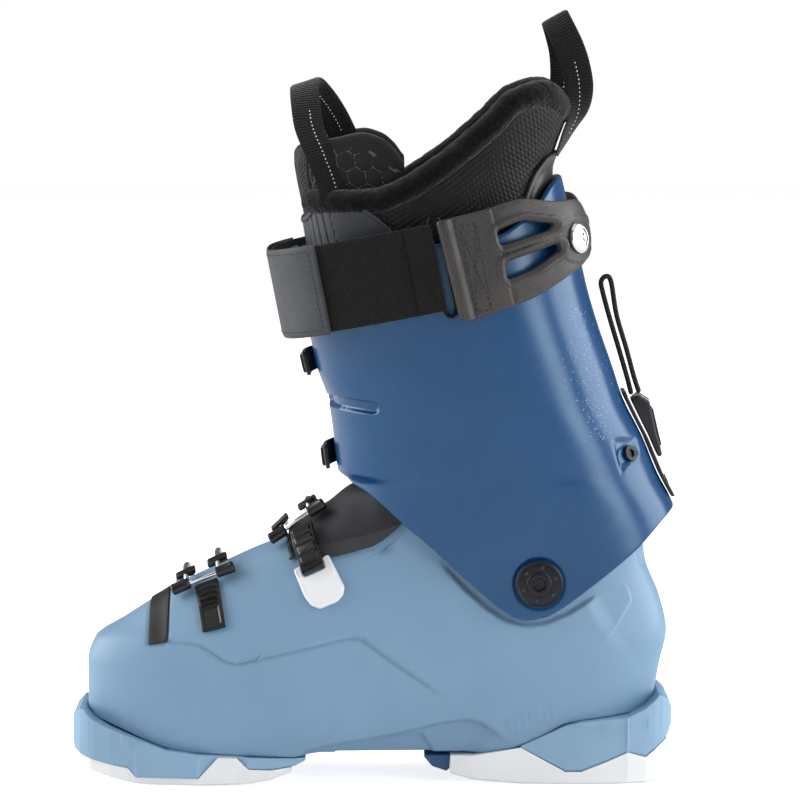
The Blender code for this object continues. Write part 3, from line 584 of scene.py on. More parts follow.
def make_cloth_materials(m):
    # Ribbed webbing: fine ribs across its length, a yarn twist in each, and fuzz.
    for key, name, rgb, pitch in (("webbing", "strap_webbing", (14, 14, 13), 1.15),
                                  ("loop_webbing", "loop_webbing", (16, 16, 16), 1.5)):
        p = Paint(name, rgb, 0.86, specular=0.25, sheen=0.25)
        weave = p.node("UVMap")
        weave.uv_map = "flat"
        flat = weave.outputs[0]
        ribs = p.ribs(pitch, "X", flat)
        twist = p.ribs(0.9, "Y", p.mapped(rotation=(0, 0, 0.5), coords=flat))
        height = p.math("ADD", p.math("MULTIPLY", ribs, 0.75), p.math("MULTIPLY", twist, 0.25))
        # Painted highlight and shade: the raised crests of the ribs and twist are painted lighter, and the
        # hollows between them stay darker.
        p.tint(p.remap(height, 0.35, 0.95, 0, 1), tuple(c * 2.3 + 6 for c in rgb), 0.55)
        p.patches(45, 4.0, 0.55, 0.75, tuple(c * 0.6 for c in rgb), 0.5)
        p.patches(2600, 2.0, 0.6, 0.8, (96, 94, 84), 0.35)
        p.bump(height, 0.9, 0.35)
        p.bump(p.noise(3000, 2.0), 0.25, 0.1)
        m[key] = p.mat
    for key, rgb, rough, second, amount in (("thread", (16, 16, 16), 0.6, (60, 60, 60), 0.4),
                                            ("white_thread", (222, 222, 218), 0.7, (170, 170, 165), 0.6)):
        p = Paint(key, rgb, rough, specular=0.4, sheen=0.2)
        p.bump(p.wave(700, "DIAGONAL"), 0.5, 0.1)
        p.tint(p.noise(800, 2.0), second, amount)
        m[key] = p.mat
    # Leatherette: fine pebbled grain with creases and a soft worn sheen.
    p = Paint("leatherette", (60, 63, 67), 0.52, specular=0.4)
    grain = p.voronoi(1500, "DISTANCE_TO_EDGE")
    # Painted shade: the grooves between the grain's pebbles are painted darker.
    p.tint(p.remap(grain, 0.0, 0.12, 1, 0), (38, 40, 42), 0.5)
    p.patches(30, 4.0, 0.5, 0.8, (84, 87, 91), 0.35)
    p.rough(p.noise(60, 4.0), 0.46, 0.62)
    p.bump(p.remap(grain, 0.0, 0.15, 0, 1), 0.35, 0.12)
    p.bump(p.noise(200, 3.0), 0.12, 0.25)
    m["leatherette"] = p.mat
    # Yoke: thick moulded elastomer with leather-like grain.
    p = Paint("yoke_elastomer", (62, 60, 59), 0.46, specular=0.5)
    grain = p.voronoi(1150, "SMOOTH_F1")
    p.tint(p.remap(grain, 0.35, 0.7, 0, 1), (36, 34, 33), 0.6)
    p.patches(35, 4.0, 0.5, 0.75, (82, 77, 73), 0.4)
    p.rough(p.noise(90, 4.0), 0.38, 0.56)
    p.bump(grain, 0.45, 0.25)
    p.bump(p.noise(2400, 2.0), 0.2, 0.06)
    m["yoke"] = p.mat
    # Plush: deep black pile with tufts and a soft sheen.
    p = Paint("liner_plush", (6, 5, 6), 0.95, specular=0.08, sheen=0.22, sheen_rough=0.5)
    tufts = p.noise(520, 4.0, 0.7)
    nap = p.noise(120, 3.0, 0.6)
    p.tint(p.remap(tufts, 0.5, 0.75, 0, 1), (38, 35, 36), 0.6)
    p.tint(p.remap(nap, 0.55, 0.75, 0, 1), (28, 26, 27), 0.5)
    p.bump(tufts, 0.9, 0.7)
    p.bump(nap, 0.5, 0.9)
    m["plush"] = p.mat
    # Liner's outer shell: hexagon-embossed coated mesh.
    p = Paint("liner_mesh", (22, 22, 23), 0.55, specular=0.32)
    p.patches(900, 3.0, 0.5, 0.75, (44, 44, 46), 0.45)
    p.patches(40, 3.0, 0.5, 0.75, (16, 16, 17), 0.5)
    p.bump(p.voronoi(1800), 0.4, 0.12)
    m["mesh"] = p.mat
    # Honeycomb-printed lining on the tongue.
    p = Paint("liner_knit", (22, 22, 23), 0.8, specular=0.3, sheen=0.25)
    knit = p.ribs(0.8, "DIAGONAL")
    # Painted highlight: the raised knit ridges are painted lighter than the hollows between them.
    p.tint(p.remap(knit, 0.4, 0.9, 0, 1), (44, 44, 46), 0.4)
    p.patches(60, 3.0, 0.5, 0.75, (12, 12, 13), 0.4)
    p.bump(knit, 0.4, 0.15)
    p.bump(p.noise(2500, 2.0), 0.25, 0.08)
    m["knit"] = p.mat
    p = Paint("honeycomb_print", (50, 49, 51), 0.6, specular=0.4)
    p.tint(p.noise(500, 3.0), (110, 106, 108), 0.5)
    p.bump(p.noise(1800, 2.0), 0.3, 0.1)
    m["print"] = p.mat
    # Tongue reinforcement, tab and other soft plastic.
    m["soft_grey"] = moulded("soft_grey_plastic", (48, 52, 57), 0.5, 0.45, grain=1.4).mat
    m["soft_black"] = moulded("soft_black_plastic", (34, 34, 36), 0.38, 0.5, grain=1.4).mat
    # Braided cord.
    p = Paint("braided_cord", (20, 20, 21), 0.82, specular=0.3, sheen=0.2)
    strands = [p.ribs(1.5, "Z", p.mapped(rotation=(0, lean, 0))) for lean in (0.6, -0.9)]
    braid = p.math("MAXIMUM", *strands)
    # Painted highlight: the raised strands of the braid are painted lighter than the hollows between them.
    p.tint(p.remap(braid, 0.5, 0.95, 0, 1), (62, 62, 64), 0.5)
    p.bump(braid, 0.9, 0.3)
    m["cord"] = p.mat


# ---------------------------------------------------------------- lower shell
SHELL_FRONT = ((14, -141), (36, -142.5), (58, -142.5), (69, -139), (79, -124), (93, -101.5),
               (105, -77), (113, -60), (120, -43), (135, -19), (143, -8), (150, 8), (168, 22))
SHELL_REAR = ((14, 136), (39, 141), (56, 144), (73, 147.5), (90, 144), (105, 138), (125, 134),
              (140, 131), (168, 128))
MEDIAL_LOW = ((0, 39), (0.15, 44.5), (0.3, 47), (0.45, 44), (0.6, 41), (0.75, 40), (0.9, 39), (1, 37))
LATERAL_LOW = ((0, 39), (0.15, 48), (0.3, 53), (0.45, 51), (0.6, 45), (0.75, 41), (0.9, 39), (1, 37))
HIGH = ((0, 28), (0.15, 31), (0.3, 33.5), (0.5, 36), (0.75, 36), (0.9, 34), (1, 31))
WIDTH_BY_HEIGHT = ((14, 0.84), (24, 0.93), (36, 0.98), (50, 1.0), (70, 0.98), (90, 0.95), (110, 0.97),
                   (168, 1.0))
SHELL_BLUNTNESS = 2.8
SEAM = ((-145, 32), (-141, 31.5), (-125, 26.5), (-110, 20.5), (-95, 16), (-75, 15), (-33, 14), (38, 14),
        (50, 14), (72, 18.5), (85, 24), (97, 30), (118, 32.5), (130, 34), (141, 39), (150, 41))
SHELL_HEM = ((-60, 140), (-49, 138), (-44.5, 119.5), (-20, 121), (0, 126), (21, 134), (45, 152), (60, 158),
             (105, 158), (125, 148), (140, 144))
PANEL_EDGE = [(-100, 71.5), (-86, 70.5), (-79, 67.5), (-72, 62.6), (-67, 61.6), (-40, 67.8), (-16, 73.4),
              (-9, 74.6), (-4, 73), (0, 70), (28, 50)]
HEM_RIM = [(30, 115), (37, 107), (46, 97), (56, 88), (65, 82), (75, 79.2), (85, 79.8), (97, 84.5),
           (113, 94)]
ARCH_EDGE = [(-42, 13), (-33, 17), (-20, 20), (13, 26), (35, 31.5), (46, 33), (54, 31.5), (62, 26),
             (72, 17)]
ARCH_INNER = [(-18, 14), (-12, 20), (25, 24), (31, 13)]
HEEL_CREASE = [(124, 101), (127.5, 95), (128.5, 90), (122, 79), (113, 68)]
REAR_NOTCH = [(129, 121), (135, 110), (137, 102)]
HEEL_PANEL = [(66, 33), (89, 42), (91, 31), (71, 21.5)]


def blunt(t, n):
    """Share of the length and of the half width at an angle from the front of a blunt oval."""
    c, s = np.cos(t), np.abs(np.sin(t))
    return 0.5 * (1 - np.sign(c) * np.abs(c) ** (2 / n)), s ** (2 / n)


def side_of(t):
    """-1 on the medial half of a ring, 1 on the lateral half."""
    return np.where(np.sin(t) >= 0, -1.0, 1.0)


def shell_point(t, z, inset=0.0, drop=0.0):
    share, width = blunt(t, SHELL_BLUNTNESS)
    front = along(z + drop, SHELL_FRONT) + inset
    rear = along(z, SHELL_REAR) - inset
    side = side_of(t)
    low = np.where(side < 0, along(share, MEDIAL_LOW), along(share, LATERAL_LOW))
    lift = ease(z, 62, 118)
    half = (low * (1 - lift) + along(share, HIGH) * lift) * along(z, WIDTH_BY_HEIGHT) - inset
    return np.stack([front + (rear - front) * share, side * half * width, z + 0 * share], axis=-1)


def blunt_angles(count, n):
    """Angles whose places on a blunt oval are about evenly spaced."""
    t = np.linspace(0, 2 * PI, 8001)
    share, width = blunt(t, n)
    x, y = share * 2.6, np.where(t < PI, -width, width) * 0.5
    length = np.concatenate([[0], np.cumsum(np.hypot(np.diff(x), np.diff(y)))])
    return np.interp(np.arange(count) * length[-1] / count, length, t)


def fade(share, start, end):
    """1 along a line, fading out over a share of it at each end."""
    return ease(share, 0, start) * ease(1 - share, 0, end)


def shell_detail(p):
    """How far each place of the shell's outside stands out from its plain form."""
    x, y, z = p[..., 0], p[..., 1], p[..., 2]
    out = np.zeros(x.shape)
    medial = y < 0
    # Overlapping side panel, its edge running from the toe buckle to the heel.
    d, share = line_distance(x, z, PANEL_EDGE)
    start = ease(x, -101.2, -100.2)
    above = ease(d, -0.35, 0.35) * start * ease(-x, -44, -22)
    out += above * (1.0 * np.exp(-np.maximum(d, 0) / 22) + 0.15) * np.where(medial, 1, 0.6)
    out -= 1.2 * np.exp(-(d / 0.65) ** 2) * start * ease(-x, -36, -24)
    # The shell swells towards the cuff's hem and has a lip along it.
    d, share = line_distance(x, z, HEM_RIM)
    ends = fade(share, 0.22, 0.10)
    out += ends * 2.4 * np.exp(-(np.minimum(d, 0) / 26) ** 2) * ease(-d, -0.9, 0.6)
    out -= ends * 0.8 * ease(d, 0.2, 1.4) * np.exp(-np.maximum(d, 0) / 8)
    # Undercut of the arch and its inner panel.
    d, share = line_distance(x, z, ARCH_EDGE)
    out -= 4.4 * ease(-d, -0.8, 2.6) * fade(share, 0.15, 0.18) * (z < 40)
    d, share = line_distance(x, z, ARCH_INNER)
    out -= 1.2 * ease(-d, -0.3, 0.6) * (x > -18) * (x < 31) * (z < 28)
    # Heel creases and the notch by the cuff.
    d, share = line_distance(x, z, HEEL_CREASE)
    out += fade(share, 0.3, 0.3) * 1.1 * np.exp(-np.abs(d) / 5) * ease(-d, -0.6, 0.4)
    d, share = line_distance(x, z, REAR_NOTCH)
    out -= 0.9 * np.exp(-(d / 1.6) ** 2) * fade(share, 0.2, 0.3)
    # Recess for the toe band.
    out -= 0.5 * ease(5.4 - np.abs(x + 106.4 - (z - 78) * 0.03), 0, 0.6) * ease(z, 68.2, 69.2)
    # Plain framed panel moulded on the heel, with a few ribs.
    panel = inside_distance(x, z, HEEL_PANEL)
    out += medial * 0.35 * (ease(panel, -0.2, 0.2) - ease(panel, 0.9, 1.3))
    ribs = np.sin((x * 0.93 + z * 0.2) * 2 * PI / 3.6)
    out += medial * 0.25 * ease(panel, 1.8, 2.4) * ease(ribs, 0.1, 0.5)
    return out


def displaced(grid, height, whole):
    """A grid of points moved outwards by a height at each."""
    return grid + outward_normals(grid, whole) * height[..., None]


def make_lower_shell(m):
    t = blunt_angles(840, SHELL_BLUNTNESS)
    low = rim_height(shell_point, t, SEAM, 24)
    high = edge_height(shell_point, t, SHELL_HEM, 130)
    rows = np.linspace(0, 1, 150)
    plain = wall_grid(shell_point, t, low, high, rows)
    outer = displaced(plain, shell_detail(plain), True)
    return close_wall("shell_body", outer, 2.6, m["light_blue"], "shell", ["lower_shell"],
                      True, radius=1.0, floor=True, plain=plain)


# ---------------------------------------------------------------- instep flap
FLAP_LOW = ((-60, 112), (-24, 113.5), (0, 119), (15, 123), (30, 130))
FLAP_TOP = ((-20, 163), (10, 163), (25, 150), (40, 142))
FLAP_LINE = [(-50, 117), (-22, 119.2), (0, 124.5), (20, 131.5)]
FLAP_REACH = 1.25


def make_instep_flap(m):
    def point(t, z):
        # Towards the toe the flap runs out into the shell.
        sunk = ease(-shell_point(t, z)[..., 0], 34, 43)
        return shell_point(t, z, inset=-2.6 + 3.7 * sunk, drop=-2.4 + 3.5 * sunk)

    t = np.linspace(-FLAP_REACH, FLAP_REACH, 220)
    low = rim_height(point, t, FLAP_LOW, 122)
    high = rim_height(point, t, FLAP_TOP, 150)
    outer = wall_grid(point, t, low, high, np.linspace(0, 1, 70))
    x, z = outer[..., 0], outer[..., 2]
    d, _ = line_distance(x, z, FLAP_LINE)
    height = -0.7 * ease(-d, -0.3, 0.4) + 0.15 * np.sin(x * 0.35) * ease(d, 3, 8)
    outer = displaced(outer, height, False)
    flap = close_wall("instep_flap_moulding", outer, 1.9, m["charcoal"], "shell", ["instep_flap"],
                      False, radius=0.8)
    second_finish(flap, m["charcoal_light"],
                  lambda centres, _: line_distance(centres[:, 0], centres[:, 2], FLAP_LINE)[0] < 0)
    return flap


# ---------------------------------------------------------------- cuff
CUFF_FRONT = ((84, -10), (127, -13), (149, -12), (154, -17), (178, -20), (190, -22), (204, -27),
              (217, -30), (267, -42), (300, -46))
CUFF_REAR = ((84, 172), (118, 158), (140, 149), (151, 143), (170, 135), (190, 125), (205, 120),
             (228, 112), (245, 107), (258, 104), (280, 99), (305, 93))
CUFF_HALF_WIDTH = ((84, 43.5), (101, 44), (130, 46), (170, 49), (210, 52), (260, 55), (305, 56))
CUFF_BLUNTNESS = 2.7
CUFF_HEM = ((-22, 151), (-10, 149), (20, 127.5), (50, 101), (66, 88), (75, 84), (85, 85.5), (92, 89),
            (110, 102), (130, 118), (149, 136), (160, 141))
CUFF_RIM = ((-50, 262), (-20, 264), (30, 268), (61, 272), (80, 284), (93, 299), (104, 303))
PIVOT = (82.5, 101.5)
SCREW_PLACE = (127, 164)
SCREW_RECESS = [(117, 173), (123, 155.5), (132.5, 165), (131, 172)]
CUFF_SLIT = [(-34, 189.6), (-18, 189.6), (0.5, 188.0)]


def oval_point(t, z, front_table, rear_table, half_table, inset=0.0):
    """Places on an upright oval wall whose front, rear and half width are tables by height."""
    share, width = blunt(t, CUFF_BLUNTNESS)
    front = along(z, front_table) + inset
    rear = along(z, rear_table) - inset
    half = along(z, half_table) - inset
    return np.stack([front + (rear - front) * share, side_of(t) * half * width, z + 0 * share], axis=-1)


def cuff_point(t, z, inset=0.0):
    return oval_point(t, z, CUFF_FRONT, CUFF_REAR, CUFF_HALF_WIDTH, inset)


def cuff_detail(p):
    """How far each place of the cuff's outside stands out from its plain form."""
    x, y, z = p[..., 0], p[..., 1], p[..., 2]
    out = np.zeros(x.shape)
    # Shallow dished seat round the pivot bolt.
    from_pivot = np.hypot(x - PIVOT[0], z - PIVOT[1])
    out -= 0.5 * ease(13.2 - from_pivot, 0, 0.7)
    # Three-cornered recess round the side screw.
    d = inside_distance(x, z, SCREW_RECESS)
    from_screw = np.hypot(x - SCREW_PLACE[0], z - SCREW_PLACE[1])
    out -= 1.8 * ease(d, -0.8, 2.2) * ease(x, 117, 124)
    out -= 0.6 * ease(5.4 - from_screw, 0, 0.8)
    # Slit in the front between the two buckle straps, with a rounded end.
    d, _ = line_distance(x, z, CUFF_SLIT)
    out -= 2.7 * ease(2.7 - np.abs(d), -0.3, 0.3) * ease(-y, -8, -4)
    return out


def make_cuff(m):
    # The wall overlaps itself at the front: its last stretch tucks in under its beginning.
    def point(t, z):
        tuck = ease(t, 2 * PI - 0.7, 2 * PI - 0.3)
        return cuff_point(t, z, inset=4.6 * tuck)

    base = blunt_angles(470, CUFF_BLUNTNESS)
    t = np.concatenate([base[base > 2 * PI - 0.25] - 2 * PI, base, [2 * PI + 0.05, 2 * PI + 0.1]])
    low = rim_height(point, t, CUFF_HEM, 120)
    high = rim_height(point, t, CUFF_RIM, 270)
    outer = wall_grid(point, t, low, high, np.linspace(0, 1, 200))
    outer = displaced(outer, cuff_detail(outer), False)
    return close_wall("cuff_body", outer, 3.6, m["deep_blue"], "cuff", ["cuff"], False,
                      radius=1.3)


# ---------------------------------------------------------------- flat pieces, ribbons, stitches
def rounded(points, radius, steps=5):
    """A closed outline with its corners rounded; a third value at a corner is its own radius."""
    pts = [np.array(p[:2], float) for p in points]
    out = []
    for i, p in enumerate(pts):
        r = points[i][2] if len(points[i]) > 2 else radius
        a, b = pts[i - 1] - p, pts[(i + 1) % len(pts)] - p
        la, lb = np.linalg.norm(a), np.linalg.norm(b)
        cut = min(r, 0.48 * la, 0.48 * lb)
        start, end = p + a / la * cut, p + b / lb * cut
        for s in np.linspace(0, 1, steps + 1):
            out.append((1 - s) ** 2 * start + 2 * s * (1 - s) * p + s * s * end)
    return np.array(out)


def resample(line, spacing, closed=True):
    """A line as points about evenly spaced along it."""
    line = np.asarray(line, float)
    if closed:
        line = np.vstack([line, line[:1]])
    length = run_length(line)
    count = max(4, int(round(length[-1] / spacing)))
    places = np.linspace(0, length[-1], count + 1)
    if closed:
        places = places[:-1]
    return np.stack([np.interp(places, length, line[:, k]) for k in range(line.shape[1])], axis=1)


def outline_depth(u, v, outline, holes):
    """Distance inside the material of an outline with holes."""
    depth = inside_distance(u, v, outline)
    for hole in holes:
        depth = np.minimum(depth, -inside_distance(u, v, hole))
    return depth


def relief(name, outline, holes, place, height, base, spacing, mat, body, replaced=(), edge=0.8):
    """A closed piece cut to an outline with holes and rounded along its top edges.

    place(u, v, lift) gives points in space, height(u, v) is the lift of the top, and base that of the
    underside."""
    loops = [resample(line, spacing * 0.8) for line in [outline] + list(holes)]
    points, edges = [], []
    for loop in loops:
        first = len(points)
        points += [tuple(p) for p in loop]
        edges += [(first + i, first + (i + 1) % len(loop)) for i in range(len(loop))]
    extra = []
    for loop in loops:
        normal = outline_normals(loop)
        for offset in (0.22 * edge, 0.55 * edge, edge):
            for side in (1, -1):
                ring = loop + normal * offset * side
                depth = outline_depth(ring[:, 0], ring[:, 1], loops[0], loops[1:])
                extra += [tuple(p) for p in ring[depth > offset * 0.93]]
    low, high = loops[0].min(axis=0), loops[0].max(axis=0)
    gu, gv = np.meshgrid(np.arange(low[0], high[0], spacing), np.arange(low[1], high[1], spacing * 0.87))
    gu = gu + (np.arange(gu.shape[0]) % 2)[:, None] * spacing / 2
    depth = outline_depth(gu, gv, loops[0], loops[1:])
    keep = depth > edge + 0.45 * spacing
    extra += list(zip(gu[keep], gv[keep]))
    cut = mathutils.geometry.delaunay_2d_cdt([Vector(p) for p in points + extra], edges, [], 0, 1e-5)
    flat = np.array([tuple(v) for v in cut[0]])
    faces = np.array([f for f in cut[2] if len(f) == 3])
    centre = flat[faces].mean(axis=1)
    faces = faces[outline_depth(centre[:, 0], centre[:, 1], loops[0], loops[1:]) > 0]
    depth = np.clip(outline_depth(flat[:, 0], flat[:, 1], loops[0], loops[1:]), 0, edge)
    drop = edge * (1 - np.sqrt(np.clip(1 - (1 - depth / edge) ** 2, 0, 1)))
    top = place(flat[:, 0], flat[:, 1], height(flat[:, 0], flat[:, 1]) - drop)
    under = place(flat[:, 0], flat[:, 1], np.full(len(flat), float(base)))
    verts, faces, used = thick_sheet(top, under, faces)
    obj = new_object(name, verts, faces, mat, body, replaced, flat=np.concatenate([flat, flat])[used])
    sharp_by_angle(obj, 50)
    return obj


def loft(name, loops, mat, body, replaced=(), sharp=40, flat=None):
    """A solid through closed loops of equal count, capped at both ends."""
    loops = np.asarray(loops, float)
    rows, cols = loops.shape[:2]
    faces = grid_faces(rows, cols, whole=True)
    faces += [tuple(range(cols)), tuple(range((rows - 1) * cols, rows * cols))]
    obj = new_object(name, loops.reshape(-1, 3), faces, mat, body, replaced, flat=flat)
    if sharp:
        sharp_by_angle(obj, sharp)
    return obj


def tangents(line):
    return unit(np.gradient(line, axis=0))


def rounded_section(half, deep, places, power):
    """A flat closed section of (offset, depth) with rounded ends."""
    top = [(w, deep * math.sqrt(max(0.0, 1 - abs(w / half) ** power))) for w in places]
    return top + [(w, -d) for w, d in reversed(top[1:-1])]


def ribbon(name, points, across, width, thickness, mat, body, replaced=()):
    """Flat webbing along a smooth line; across holds its direction at even shares of the line.

    Also gives the line, and the directions across it and out of it."""
    line = resample(smooth_line(points, 10), 1.0, closed=False)
    tangent = tangents(line)
    across = np.asarray(across, float)
    share, given = np.linspace(0, 1, len(line)), np.linspace(0, 1, len(across))
    across = np.stack([np.interp(share, given, across[:, k]) for k in range(3)], axis=1)
    wide = unit(across - tangent * (across * tangent).sum(axis=1, keepdims=True))
    out = np.cross(tangent, wide)
    half = width / 2
    section = rounded_section(half, thickness / 2, np.linspace(-half, half, 15), 6)
    loops = np.stack([line + wide * w + out * d for w, d in section], axis=1)
    length = np.arange(len(line), dtype=float)
    flat = [(length[r], section[c][0]) for r in range(len(line)) for c in range(len(section))]
    loft(name, loops, mat, body, replaced, sharp=60, flat=flat)
    return line, wide, out


def stitches(name, line, normal, mat, length, pitch, width):
    """A row of short raised threads along a line, lying on a surface with a normal at each point.

    All of the boot's sewn parts ride on the cuff."""
    line = np.asarray(line, float)
    steps = run_length(line)

    def at(values, place):
        return np.array([np.interp(place, steps, values[:, k]) for k in range(3)])

    verts, faces = [], []
    normal = np.broadcast_to(np.asarray(normal, float), line.shape)
    place = pitch * 0.3
    while place + length < steps[-1]:
        a, b = at(line, place), at(line, place + length)
        up = unit(at(normal, place + length / 2))
        side = np.cross(unit(b - a), up)
        first = len(verts)
        for share, swell in ((0, 0.35), (0.2, 0.9), (0.8, 0.9), (1, 0.35)):
            for angle in np.arange(6) * PI / 3:
                rim = side * math.cos(angle) + up * 0.7 * math.sin(angle)
                verts.append(a + (b - a) * share + rim * width / 2 * swell)
        faces += grid_faces(4, 6, whole=True, start=first)
        faces += [tuple(range(first, first + 6)), tuple(range(first + 18, first + 24))]
        place += pitch
    new_object(name, verts, faces, mat, "cuff", [])


def tube(name, points, radius, mat, body, replaced=(), sides=16, per_span=8, closed=False,
         smooth=True):
    """A round wire along a line, which is smoothed unless its points are close already."""
    if smooth:
        points = smooth_line(points, per_span, closed)
    line = np.asarray(points, float)
    if closed:
        tangent = unit(np.roll(line, -1, axis=0) - np.roll(line, 1, axis=0))
    else:
        tangent = tangents(line)
    one = np.zeros_like(line)
    guess = np.cross(tangent[0], (0.3, 0.2, 0.9))
    for i, t in enumerate(tangent):
        guess = unit(guess - t * guess.dot(t))
        one[i] = guess
    two = np.cross(tangent, one)
    angles = np.linspace(0, 2 * PI, sides, endpoint=False)
    ring = one[:, None] * np.cos(angles)[None, :, None] + two[:, None] * np.sin(angles)[None, :, None]
    loops = line[:, None] + radius * ring
    if closed:
        loops = np.concatenate([loops, loops[:1]])
        faces = grid_faces(*loops.shape[:2], whole=True)
        return new_object(name, loops.reshape(-1, 3), faces, mat, body, replaced)
    # Round ends: (share of the radius onwards, share of it across).
    caps = [(0.6, 0.8), (0.9, 0.43), (1.0, 0.05)]
    start = [line[0] - tangent[0] * radius * a + (loops[0] - line[0]) * b for a, b in reversed(caps)]
    end = [line[-1] + tangent[-1] * radius * a + (loops[-1] - line[-1]) * b for a, b in caps]
    return loft(name, np.concatenate([start, loops, end]), mat, body, replaced, sharp=60)


def hex_edge(a, b, pitch):
    """Distance of places from the borders of a honeycomb."""
    high = pitch * math.sqrt(3)
    best = np.full(np.shape(a), 1e9)
    da = db = np.zeros(np.shape(a))
    for oa, ob in ((0, 0), (pitch / 2, high / 2)):
        ca = (a - oa + pitch / 2) % pitch - pitch / 2
        cb = (b - ob + high / 2) % high - high / 2
        closer = ca**2 + cb**2 < best
        best = np.where(closer, ca**2 + cb**2, best)
        da, db = np.where(closer, ca, da), np.where(closer, cb, db)
    return pitch / 2 - np.maximum(np.abs(da), np.abs(da) / 2 + np.abs(db) * math.sqrt(0.75))


# ---------------------------------------------------------------- soles
# Sole pieces: (x, low, high, medial half width, lateral half width).
TOE_PLATE = ((-149.5, 19, 30.2, 13, 13), (-148.6, 16, 32.7, 20, 20), (-145.5, 14, 35.5, 26, 26),
             (-143.4, 13, 35.4, 28, 28), (-141, 12.1, 32.6, 29.8, 29.8), (-138, 11.2, 30.2, 31.3, 31.3),
             (-130, 9.5, 26.4, 34, 34), (-121, 8, 23.2, 35.5, 36), (-117, 3.4, 21.8, 36, 37),
             (-102, 3.4, 16.4, 38, 41), (-86, 3.4, 14.5, 40, 45), (-76, 13.2, 14.1, 38, 43.5),
             (-67, 13.2, 13.9, 38.5, 44), (-61, 8.4, 13.4, 42, 47), (-50, 8, 13, 41, 46),
             (-38, 9.5, 12.7, 38, 42), (-33, 12, 12.7, 36, 39))
TOE_GRIP = ((-148.3, 11, 15.0, 18, 18), (-145.5, 8.5, 13.4, 24, 24), (-140, 6, 11.3, 29, 29),
            (-130, 3, 9.0, 33, 33), (-121, 1.2, 7.5, 35, 35.5), (-117, 0.6, 3.0, 35.5, 36.5),
            (-112, 0, 3.0, 36, 37.5), (-86, 0, 3.0, 40, 45), (-76, 0.3, 13.5, 41, 46.5),
            (-67, 0.8, 13.5, 42, 47), (-61, 1.2, 7.9, 42, 47), (-50, 3, 7.4, 41, 46),
            (-40, 6.5, 8.6, 38, 42))
HEEL_PLATE = ((74, 18, 18.2, 34.5, 34.5), (96, 6, 28.3, 35.5, 35.5), (104, 6, 30.2, 35.5, 35.5),
              (118, 11.6, 31.4, 35, 35), (127, 15.5, 32.3, 34, 34), (136, 12.6, 36.3, 31, 31),
              (141, 16.5, 40.3, 28.5, 28.5), (143, 18.2, 42.4, 27, 27), (145, 19.9, 41.8, 25.5, 25.5),
              (147.5, 22.5, 39.7, 21, 21), (149.6, 27, 35.3, 14, 14))
HEEL_GRIP = ((39, 5, 13.6, 33, 33), (50, 2, 13.6, 34, 34), (62, 1, 15.6, 34.5, 34.5),
             (74, 0, 17.6, 34.5, 34.5), (96, 0, 5.6, 35.5, 35.5), (104, 0, 5.6, 35.5, 35.5),
             (118, 0, 11.2, 35, 35), (127, 0, 15.1, 34, 34), (136, 0, 12.2, 31, 31),
             (141, 0.5, 16.1, 28.5, 28.5), (145.5, 4, 19.6, 24, 24), (147, 10, 20.6, 21, 21))
ARCH_BUMPER = ((26, 12.6, 13.6, 30, 30), (30, 8, 13.6, 30, 30), (37, 5.6, 13.6, 30, 30),
               (38.6, 7, 13.6, 30, 30))
HEEL_RIDGE = [(90, 26.5), (97, 29.4), (120, 28.2), (140, 30.8), (150, 34.5)]


def sole_block(name, stations, mat, replaced, side=None, tread=0.0, corner=1.0,
               rise=0.0, crown=0.35):
    """A sole piece lofted along X, with rounded long edges, side detail and a treaded underside."""
    table = np.array(stations, float)
    xs = np.unique(np.concatenate([np.arange(table[0, 0], table[-1, 0], 0.8), table[:, 0]]))
    low, high, medial, lateral = (np.interp(xs, table[:, 0], table[:, k]) for k in (1, 2, 3, 4))
    levels = np.array([0, 0.06, 0.15, 0.3, 0.5, 0.7, 0.85, 0.93, 0.975, 1])
    across = np.linspace(-1, 1, 41)
    loops = []
    for x, z0, z1, m, l in zip(xs, low, high + rise, medial, lateral):
        r = min(corner, 0.45 * (z1 - z0))
        c = min(crown, 0.45 * (z1 - z0))
        widths = [-(m - r) + (m + l - 2 * r) * (s + 1) / 2 for s in across]
        loop = []
        for y in widths:
            groove = 0.0
            if tread and z0 < 4:
                near_edge = min(m + y, l - y)
                bars = 0.5 + 0.5 * math.sin(2 * PI * (x - 0.12 * y) / 7.2)
                channel = ease(3.2 - abs(abs(y) - 12), 0, 0.8)
                groove = tread * max(float(ease(bars, 0.62, 0.8)) * float(ease(near_edge, -2, 0.5)),
                                     float(channel))
                groove = min(groove, 0.5 * (z1 - z0))
            loop.append((x, y, z0 + groove))
        for y_side, half in ((1, l), (-1, m)):
            column = []
            for s in levels:
                z = z0 + (z1 - z0) * s
                inset = r * (1 - math.sqrt(max(0.0, 1 - (1 - min(1, (z - z0) / r)) ** 2)))
                inset += c * (1 - math.sqrt(max(0.0, 1 - (1 - min(1, (z1 - z) / c)) ** 2)))
                if side:
                    inset -= side(x, z)
                column.append((x, y_side * (half - inset), z))
            if y_side == 1:
                loop += column
                loop += [(x, y, z1) for y in widths[::-1]]
            else:
                loop += column[::-1]
        loops.append(loop)
    loft(name, loops, mat, "shell", replaced, sharp=28)


def heel_side(x, z):
    """How far the heel sole's side stands out: a ridge, an upright line, and a lean below the ridge."""
    d = float(line_distance(np.array(x), np.array(z), HEEL_RIDGE)[0])
    out = 1.1 * float(ease(d, -0.2, 0.4)) * math.exp(-max(d, 0) / 7)
    out += 0.9 * float(ease(0.6 - abs(x - 127), 0, 0.5))
    return out - 0.02 * max(-d, 0)


def toe_side(x, z):
    """How far the toe sole's side stands out: an upper step and a lower block."""
    out = 0.9 * float(ease(x, -124.6, -124)) * float(ease(z, 20.5, 21)) * float(ease(-x, 100, 120))
    out += 0.7 * float(ease(x, -118, -116.6)) * float(ease(-x, 85, 87)) * float(ease(14 - z, 0, 2))
    return out


